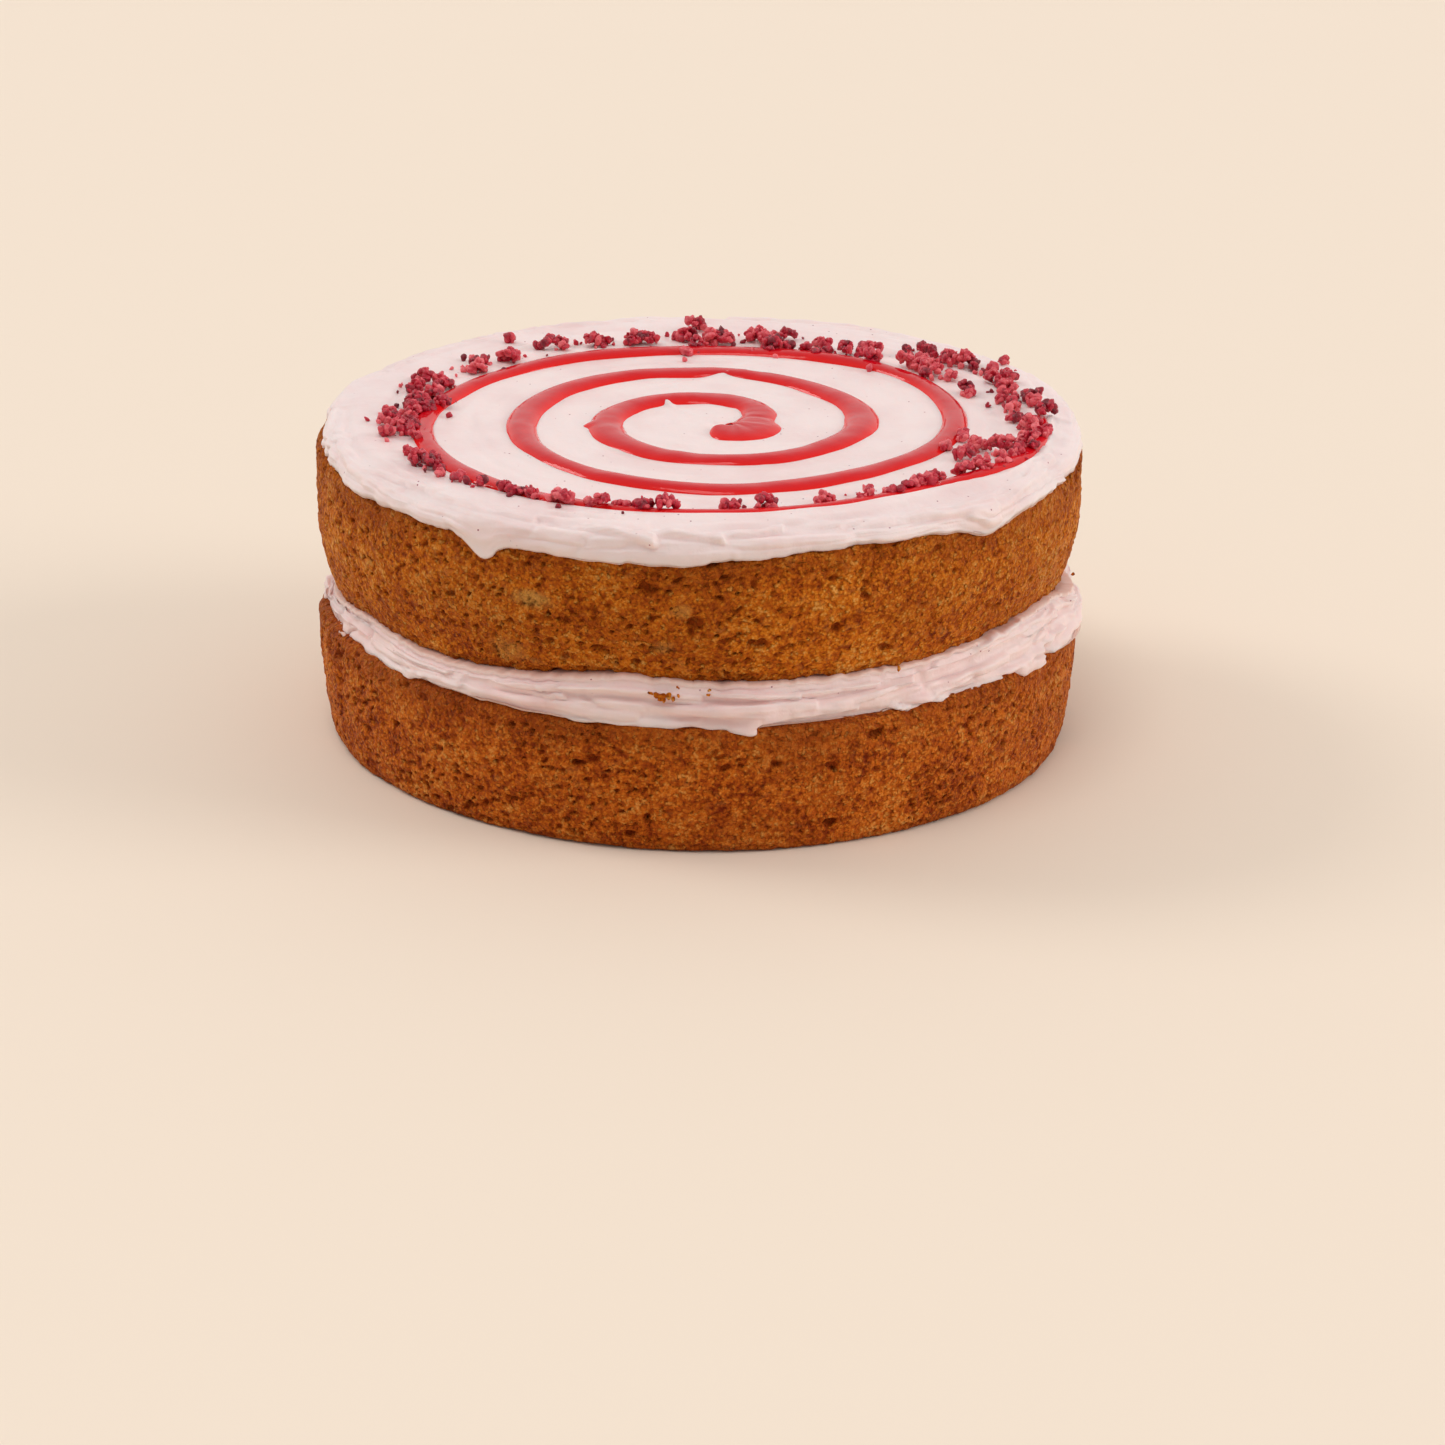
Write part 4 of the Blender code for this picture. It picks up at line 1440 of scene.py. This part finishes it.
@dataclass
class Raspberries:
    """Freeze-dried raspberry pieces in a ring, knobbly and each its own shape, with smaller bits between."""

    icing: Icing
    finish: RaspberryFinish
    seed: int = 11
    sizes: tuple[float, float] = (3.4, 7.0)
    sunk: float = 0.16
    ring_centre: tuple[float, float] = (0.5, -1.0)
    # Rows of (first angle, last angle, inner radius, outer radius, count).
    runs: tuple[tuple[float, float, float, float, int], ...] = (
        (0, 3, 85, 87, 1), (3, 12, 77, 80, 3), (8, 13, 82, 85, 3), (12, 22, 78, 84, 6), (20, 36, 80, 86, 8),
        (14, 24, 71, 74, 2), (28, 34, 67, 77, 3), (34, 42, 69, 78, 4), (36, 48, 78, 87, 6),
        (48, 50, 65, 67, 2), (53, 58, 68, 74, 4), (60, 68, 63, 73, 5), (70, 80, 63, 75, 10),
        (84, 89, 64, 72, 4), (91, 97, 62, 72, 4), (101, 108, 68, 71, 4), (111, 116, 69, 73, 4),
        (119, 127, 69, 75, 4), (134, 138, 69, 74, 3), (140, 149, 70, 78, 6), (157, 165, 70, 79, 8),
        (165, 180, 65, 74, 9), (179, 196, 72, 81, 14), (204, 216, 76, 81, 7), (216, 229, 78, 82, 6),
        (232, 240, 77, 81, 4), (243, 253, 77, 81, 4), (253, 262, 75, 79, 4), (275, 284, 74, 76, 3),
        (290, 297, 73, 75, 2), (299, 306, 74, 76, 3), (306, 320, 76, 78, 6), (322, 333, 79, 82, 4),
        (333, 349, 66, 72, 6), (335, 352, 78, 86, 10), (352, 360, 77, 84, 4),
    )
    # Rows of (angle, radius, size).
    lone: Rows = (
        (31.4, 92, 3.8), (128.4, 83.5, 3.8), (338, 64.5, 3.8), (95, 56, 3.4), (92, 79, 6.8), (282, 74.5, 7.6),
        (340, 78, 8.2), (264, 76, 7.0), (89, 70, 6.0),
    )
    drupelet: float = 1.95
    drupelet_scales: tuple[float, float] = (0.7, 1.25)
    arch: float = 0.6
    tallest: float = 4.4
    lowest: float = 0.35
    bits: int = 340
    bit_sizes: tuple[float, float] = (0.7, 2.0)
    bit_scatter: float = 2.9

    def places(self) -> list[tuple[float, float, float]]:
        """Where each piece lies and its size, the largest first.

        Returns:
            x, y and size of each.
        """
        draw = random.Random(self.seed)
        small, large = self.sizes
        found = []
        for start, end, inner, outer, count in self.runs:
            for number in range(count):
                angle = start + (end - start) * (number + draw.uniform(0.1, 0.9)) / count
                radius = draw.uniform(inner, outer)
                found.append((angle, radius, small + (large - small) * draw.random() ** 1.3))
        found.extend(self.lone)
        across, along = self.ring_centre
        return [(across + radius * math.cos(math.radians(angle)),
                 along + radius * math.sin(math.radians(angle)), size)
                for angle, radius, size in sorted(found, key=lambda place: -place[2])]

    def build(self) -> list[bpy.types.Object]:
        """Makes the pieces and the bits. Returns their objects."""
        material = self.finish.material()
        draw = random.Random(self.seed + 1)
        places = self.places()
        pieces = [grain for x, y, size in places for grain in self._cluster(x, y, size, draw)]
        bits = []
        small, large = self.bit_sizes
        for _ in range(self.bits):
            x, y, _ = draw.choice(places)
            size = small + (large - small) * draw.random() ** 1.6
            x, y = x + draw.gauss(0, self.bit_scatter), y + draw.gauss(0, self.bit_scatter)
            bits.append((x, y, 0.3 * size, size, draw.random()))
        made = []
        for name, grains in (("raspberry_pieces", pieces), ("raspberry_bits", bits)):
            piece = CrumbTree(material).grow(seed_points(name, self._on_icing(grains), draw), name)
            made.append(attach(piece, BODY))
        return made

    def _cluster(self, x: float, y: float, size: float, draw: random.Random) -> list[Grain]:
        """The drupelets of one broken piece, on a curved scrap of berry that leans its own way.

        Args:
            x: Where the piece lies.
            y: Where the piece lies.
            size: Its length.
            draw: The seeded draw.

        Returns:
            x, y, height, size and tone of each drupelet.
        """
        turn, lean = draw.uniform(0, 2 * math.pi), draw.uniform(-1.0, 1.0)
        tone = draw.random()
        across, width = Vector((math.cos(turn), math.sin(turn), 0)), draw.uniform(0.55, 0.95)
        up = Vector((-math.sin(turn) * math.sin(lean), math.cos(turn) * math.sin(lean), math.cos(lean)))
        aside = up.cross(across)
        half = 0.5 * (1.1 * size - self.drupelet)
        grains = []
        for _ in range(3 + int(1.9 * (size / self.drupelet) ** 2 * width)):
            far, bearing = draw.random() ** 0.4, draw.uniform(0, 2 * math.pi)
            along, over = half * far * math.cos(bearing), half * width * far * math.sin(bearing)
            lift = self.arch * half * (1 - far**2) + draw.uniform(-0.35, 0.35)
            spot = across * along + aside * over + up * lift
            height = min(max(0.5 * half + spot.z + self.lowest, self.lowest), self.tallest)
            extent = self.drupelet * draw.uniform(*self.drupelet_scales)
            grains.append((x + spot.x, y + spot.y, height, extent, 0.5 * tone + 0.5 * draw.random()))
        return grains

    def _on_icing(self, grains: list[Grain]) -> list[Grain]:
        """The grains with their heights above the icing turned into heights above the foot."""
        x, y = (np.array([grain[k] for grain in grains]) for k in (0, 1))
        return [(*grain[:2], grain[2] + float(base), *grain[3:])
                for grain, base in zip(grains, self.icing.top(x, y, False))]


@dataclass
class LooseCrumbs:
    """Crumbs of sponge that the knife left on the filling's face, some just under the upper sponge."""

    finish: SpongeFinish
    seed: int = 91
    chosen: tuple[tuple[float, float, float], ...] = (
        (264.2, 40.4, 1.5), (265.0, 40.0, 1.9), (265.9, 40.3, 1.7), (266.6, 39.7, 1.3), (263.3, 40.8, 1.0),
        (267.3, 40.3, 0.9), (265.3, 39.1, 1.2), (271.5, 40.9, 0.9), (300.4, 43.0, 1.1),
    )
    more: int = 9

    def build(self) -> list[bpy.types.Object]:
        """Makes the crumbs. Returns their object."""
        draw = random.Random(self.seed)
        grains = list(self.chosen)
        for _ in range(self.more):
            angle = draw.uniform(0, 360)
            foot = float(upper_foot(np.array(angle), UNDERSIDE_RIM))
            grains.append((angle, foot - draw.uniform(0.2, 0.6), draw.uniform(0.5, 0.9)))
        angle, z, size = (np.array([grain[k] for grain in grains]) for k in range(3))
        face = FILLING_FACE_RADIUS + bumps(FILLING_FACE_BUMPS, angle) + 0.1
        spots = ring_points(face, angle, z).tolist()
        rows = [(*spot, extent, draw.random()) for spot, extent in zip(spots, size)]
        seeds = seed_points("sponge_bits", rows, draw)
        piece = CrumbTree(self.finish.material()).grow(seeds, "sponge_bits")
        return [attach(piece, BODY)]


def seed_points(name: str, grains: Sequence[Grain], draw: random.Random) -> bpy.types.Object:
    """Points that carry each grain's size, turn and tone.

    Args:
        name: The object's name.
        grains: x, y, z, size and tone of each.
        draw: The seeded draw.

    Returns:
        The linked object that holds the points.
    """
    mesh = bpy.data.meshes.new(name + "_seeds")
    mesh.from_pydata([(x * MM, y * MM, z * MM) for x, y, z, _, _ in grains], [], [])
    scales = [[grain[3] * MM * draw.uniform(*reach) for reach in GRAIN_STRETCHES] for grain in grains]
    turns = [[draw.uniform(0, 2 * math.pi) for _ in range(3)] for _ in grains]
    for key, rows in (("size", scales), ("turn", turns)):
        layer = mesh.attributes.new(key, "FLOAT_VECTOR", "POINT")
        layer.data.foreach_set("vector", np.array(rows, dtype=np.float32).ravel())
    layer = mesh.attributes.new("tone", "FLOAT", "POINT")
    layer.data.foreach_set("value", np.array([grain[4] for grain in grains], dtype=np.float32))
    return put_in_scene(name, mesh)


@dataclass
class CrumbTree:
    """Geometry Nodes that put a dented grain on each point."""

    material: bpy.types.Material
    level: int = 2
    lump_size: float = 1.2
    lump_depth: float = 1.3
    knob_size: float = 0.9
    knob_depth: float = 0.45

    def grow(self, seeds: bpy.types.Object, name: str) -> bpy.types.Object:
        """Runs the nodes on the points and keeps the result as a plain mesh.

        Args:
            seeds: The object whose points carry size, turn and tone.
            name: The finished object's name.

        Returns:
            The same object with the grains as its mesh.
        """
        values = {"Lump Size": self.lump_size * MM, "Lump Depth": self.lump_depth * MM,
                  "Knob Size": self.knob_size * MM, "Knob Depth": self.knob_depth * MM}
        tree = self._tree(name, list(values))
        values["Material"] = self.material
        modifier = seeds.modifiers.new("lumps", "NODES")
        modifier.node_group = tree
        for item in tree.interface.items_tree:
            if item.in_out == "INPUT" and item.name in values:
                modifier[item.identifier] = values[item.name]
        graph = bpy.context.evaluated_depsgraph_get()
        mesh = bpy.data.meshes.new_from_object(seeds.evaluated_get(graph))
        seeds.modifiers.clear()
        seeds.data = mesh
        mesh.name = name
        mesh.shade_smooth()
        return seeds

    def _tree(self, name: str, numbers: list[str]) -> bpy.types.NodeTree:
        """Builds the node tree.

        Args:
            name: The start of its name.
            numbers: The names of its inputs that are numbers.

        Returns:
            The tree.
        """
        tree = bpy.data.node_groups.new(name + "_nodes", "GeometryNodeTree")
        tree.interface.new_socket("Geometry", in_out="OUTPUT", socket_type="NodeSocketGeometry")
        tree.interface.new_socket("Geometry", in_out="INPUT", socket_type="NodeSocketGeometry")
        for label in numbers:
            tree.interface.new_socket(label, in_out="INPUT", socket_type="NodeSocketFloat")
        tree.interface.new_socket("Material", in_out="INPUT", socket_type="NodeSocketMaterial")
        given = tree.nodes.new("NodeGroupInput").outputs
        size, turn = (add_node(tree, "GeometryNodeInputNamedAttribute", {"Name": key},
                               data_type="FLOAT_VECTOR").outputs["Attribute"] for key in ("size", "turn"))
        ball = add_node(tree, "GeometryNodeMeshIcoSphere", {"Radius": 0.5, "Subdivisions": self.level})
        turned = add_node(tree, "FunctionNodeEulerToRotation", {0: turn})
        grains = add_node(tree, "GeometryNodeInstanceOnPoints", {
            "Points": given["Geometry"], "Instance": ball.outputs["Mesh"],
            "Rotation": turned.outputs[0], "Scale": size})
        real = add_node(tree, "GeometryNodeRealizeInstances", {"Geometry": grains.outputs["Instances"]})
        lumped = self._push(tree, real.outputs["Geometry"], given, "Lump")
        knobbed = self._push(tree, lumped, given, "Knob")
        dressed = add_node(tree, "GeometryNodeSetMaterial", {
            "Geometry": knobbed, "Material": given["Material"]})
        add_node(tree, "NodeGroupOutput", {"Geometry": dressed.outputs["Geometry"]})
        return tree

    @staticmethod
    def _push(tree: bpy.types.NodeTree, surface: Socket, given: bpy.types.NodeOutputs, kind: str) -> Socket:
        """Moves a surface along its normals by a texture.

        Args:
            tree: The tree.
            surface: The surface.
            given: The tree's inputs.
            kind: Lump for soft noise or Knob for round cells, the first word of two of the inputs.

        Returns:
            The moved surface.
        """
        scale = reckon(tree, "DIVIDE", 1.0, given[kind + " Size"])
        if kind == "Lump":
            noise = add_node(tree, "ShaderNodeTexNoise", {"Scale": scale, "Detail": 2.0})
            centred = reckon(tree, "SUBTRACT", noise.outputs["Fac"], 0.5)
        else:
            cells = add_node(tree, "ShaderNodeTexVoronoi", {"Scale": scale})
            centred = reckon(tree, "SUBTRACT", 0.45, cells.outputs["Distance"])
        amount = reckon(tree, "MULTIPLY", centred, given[kind + " Depth"])
        normal = add_node(tree, "GeometryNodeInputNormal").outputs["Normal"]
        offset = add_node(tree, "ShaderNodeVectorMath", {0: normal, "Scale": amount}, operation="SCALE")
        return add_node(tree, "GeometryNodeSetPosition", {
            "Geometry": surface, "Offset": offset.outputs[0]}).outputs["Geometry"]


@dataclass(frozen=True)
class Sun:
    """One wide soft light, so far away that it lights the whole floor evenly."""

    name: str
    place: Place
    strength: float
    width: float


@dataclass
class Studio:
    """A pale floor, soft light and a camera at the photograph's angle."""

    floor_half: float = 12.0
    floor_colour: Colour = (0.87, 0.748, 0.625)
    floor_grain: Colour = (0.9, 0.8, 0.7)
    camera_place: Place = (6.0, -1060.4, 409.0)
    camera_tilt: float = 68.78
    camera_roll: float = 0.54
    lens: float = 109.6
    sensor_width: float = 36.0
    sight: float = 100.0
    horizon: tuple[float, float] = (-0.6, 0.9)
    horizon_light: tuple[float, float] = (0.46, 0.82)
    light_tint: Colour = (1.0, 0.975, 0.95)
    suns: tuple[Sun, ...] = (
        Sun("overhead", (-0.15, -0.25, 1.0), 0.62, 26.0),
        Sun("left", (-0.90, 0.35, 0.75), 0.66, 22.0),
        Sun("right", (1.00, -0.12, 0.40), 1.06, 30.0),
    )

    def build(self) -> list[bpy.types.Object]:
        """Makes the floor, the world, the suns and the camera. Returns the floor."""
        floor = self._floor()
        self._world()
        for sun in self.suns:
            light = bpy.data.lights.new(sun.name, "SUN")
            light.energy = sun.strength
            light.angle = math.radians(sun.width)
            light.color = self.light_tint
            lamp = put_in_scene(sun.name, light)
            lamp.rotation_euler = (-Vector(sun.place)).to_track_quat("-Z", "Y").to_euler()
        self._camera()
        bpy.context.scene.view_settings.view_transform = "Standard"
        return [floor]

    def _floor(self) -> bpy.types.Object:
        """Makes the floor that the cake stands on. Returns it."""
        half = self.floor_half
        mesh = bpy.data.meshes.new("floor")
        mesh.from_pydata([(-half, -half, 0), (half, -half, 0), (half, half, 0), (-half, half, 0)], [],
                         [(0, 1, 2, 3)])
        floor = put_in_scene("floor", mesh)
        graph = Graph("floor")
        grain = graph.noise(30.0, 2.0)
        colour = graph.mix(graph.span(grain, 0.3, 0.7, 0.0, 0.02), self.floor_colour, self.floor_grain)
        mesh.materials.append(graph.finish(colour, 0.8, graph.bump(grain, 0.01), {"Specular IOR Level": 0.2}))
        floor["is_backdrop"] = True
        return floor

    def _world(self) -> None:
        """Lights the room from all round, brightest behind the cake, where the jam mirrors it."""
        world = bpy.data.worlds.new("room")
        world.use_nodes = True
        tree = world.node_tree
        direction = add_node(tree, "ShaderNodeTexCoord").outputs["Generated"]
        parts = add_node(tree, "ShaderNodeSeparateXYZ", {0: direction})
        level = add_node(tree, "ShaderNodeMapRange", {
            "Value": parts.outputs["Y"], "From Min": self.horizon[0], "From Max": self.horizon[1],
            "To Min": self.horizon_light[0], "To Max": self.horizon_light[1],
        }, interpolation_type="SMOOTHSTEP")
        feed(tree, tree.nodes["Background"], {
            "Color": (*self.light_tint, 1), "Strength": level.outputs["Result"]})
        bpy.context.scene.world = world

    def _camera(self) -> None:
        """Stands the camera where the photograph was taken from."""
        data = bpy.data.cameras.new("camera")
        data.lens = self.lens
        data.sensor_width = self.sensor_width
        data.clip_end = self.sight
        camera = put_in_scene("camera", data)
        tilt = Matrix.Rotation(math.radians(self.camera_tilt), 4, "X")
        roll = Matrix.Rotation(math.radians(self.camera_roll), 4, "Z")
        camera.matrix_world = Matrix.Translation(Vector(self.camera_place) * MM) @ tilt @ roll
        bpy.context.scene.camera = camera


def corners() -> list[list[float]]:
    """The shown object's box as plain numbers."""
    return [[round(float(value), 6) for value in corner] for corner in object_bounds()]


def main() -> None:
    """Builds the cake from its foot upwards, then the studio, and logs each object's face count."""
    logging.basicConfig(level=logging.INFO, format="%(name)s: %(message)s")
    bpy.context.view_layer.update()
    icing = Icing(CreamFinish("icing_cream"))
    lower = Sponge(
        Layer.LOWER, SpongeFinish("lower_crumb", deep=(0.18, 0.014, 0.002), face=(0.48, 0.091, 0.007),
                                  warm=(0.70, 0.172, 0.013), tan=(0.86, 0.36, 0.08)),
        3, wrinkles=0.5, pore_share=0.75, hollow_share=0.34, holes=(
            Pit(296, 28.2, 4.4, 2.6, 1.6), Pit(289.5, 21.8, 3.6, 2.6, 1.3), Pit(281, 23.7, 3.0, 2.4, 1.1),
            Pit(254.7, 23.6, 4.0, 2.2, 1.1), Pit(242, 29, 2.6, 1.8, 1.0), Pit(274, 22.9, 3.2, 2.2, 1.0),
            Pit(286.9, 30.0, 2.4, 1.6, 0.9), Pit(330, 14.0, 3.0, 1.8, 1.0)))
    upper = Sponge(
        Layer.UPPER, SpongeFinish("upper_crumb"), 8, pore_share=0.48, hollow_share=0.2, holes=(
            Pit(262.8, 67.6, 4.6, 3.2, 1.4), Pit(269.6, 58.6, 4.2, 4.8, 1.2), Pit(279.3, 53.1, 3.8, 3.4, 1.0),
            Pit(290, 56.1, 3.2, 3.4, 1.2), Pit(294.2, 63.9, 2.2, 2.2, 0.9), Pit(277.8, 68.8, 2.2, 2.0, 0.9),
            Pit(298.4, 48.8, 3.6, 2.6, 1.1), Pit(250.3, 47.2, 3.4, 3.0, 0.9)),
        pale_spots=(Pit(245.7, 61.6, 12.0, 5.0, 0.6), Pit(267.8, 62.0, 6.0, 4.0, 0.35),
                    Pit(265, 52.4, 7.0, 4.0, 0.3), Pit(240.8, 46.4, 12.0, 7.0, 0.3)))
    filling = Filling(CreamFinish("filling_cream", light=(0.91, 0.72, 0.695), blush=(0.87, 0.63, 0.61)))
    builders: dict[str, Callable[[], list[bpy.types.Object]]] = {
        "lower sponge": lower.build,
        "upper sponge": upper.build,
        "filling": filling.build,
        "icing": icing.build,
        "jam": JamSpiral(icing, JamFinish("jam")).build,
        "raspberries": Raspberries(icing, RaspberryFinish("raspberry")).build,
        "loose crumbs": LooseCrumbs(SpongeFinish("loose_crumb")).build,
        "studio": Studio().build,
    }
    for name, build in builders.items():
        for made in build():
            LOG.info("%s: %s with %d faces", name, made.name, len(made.data.polygons))


if __name__ == "__main__":
    main()
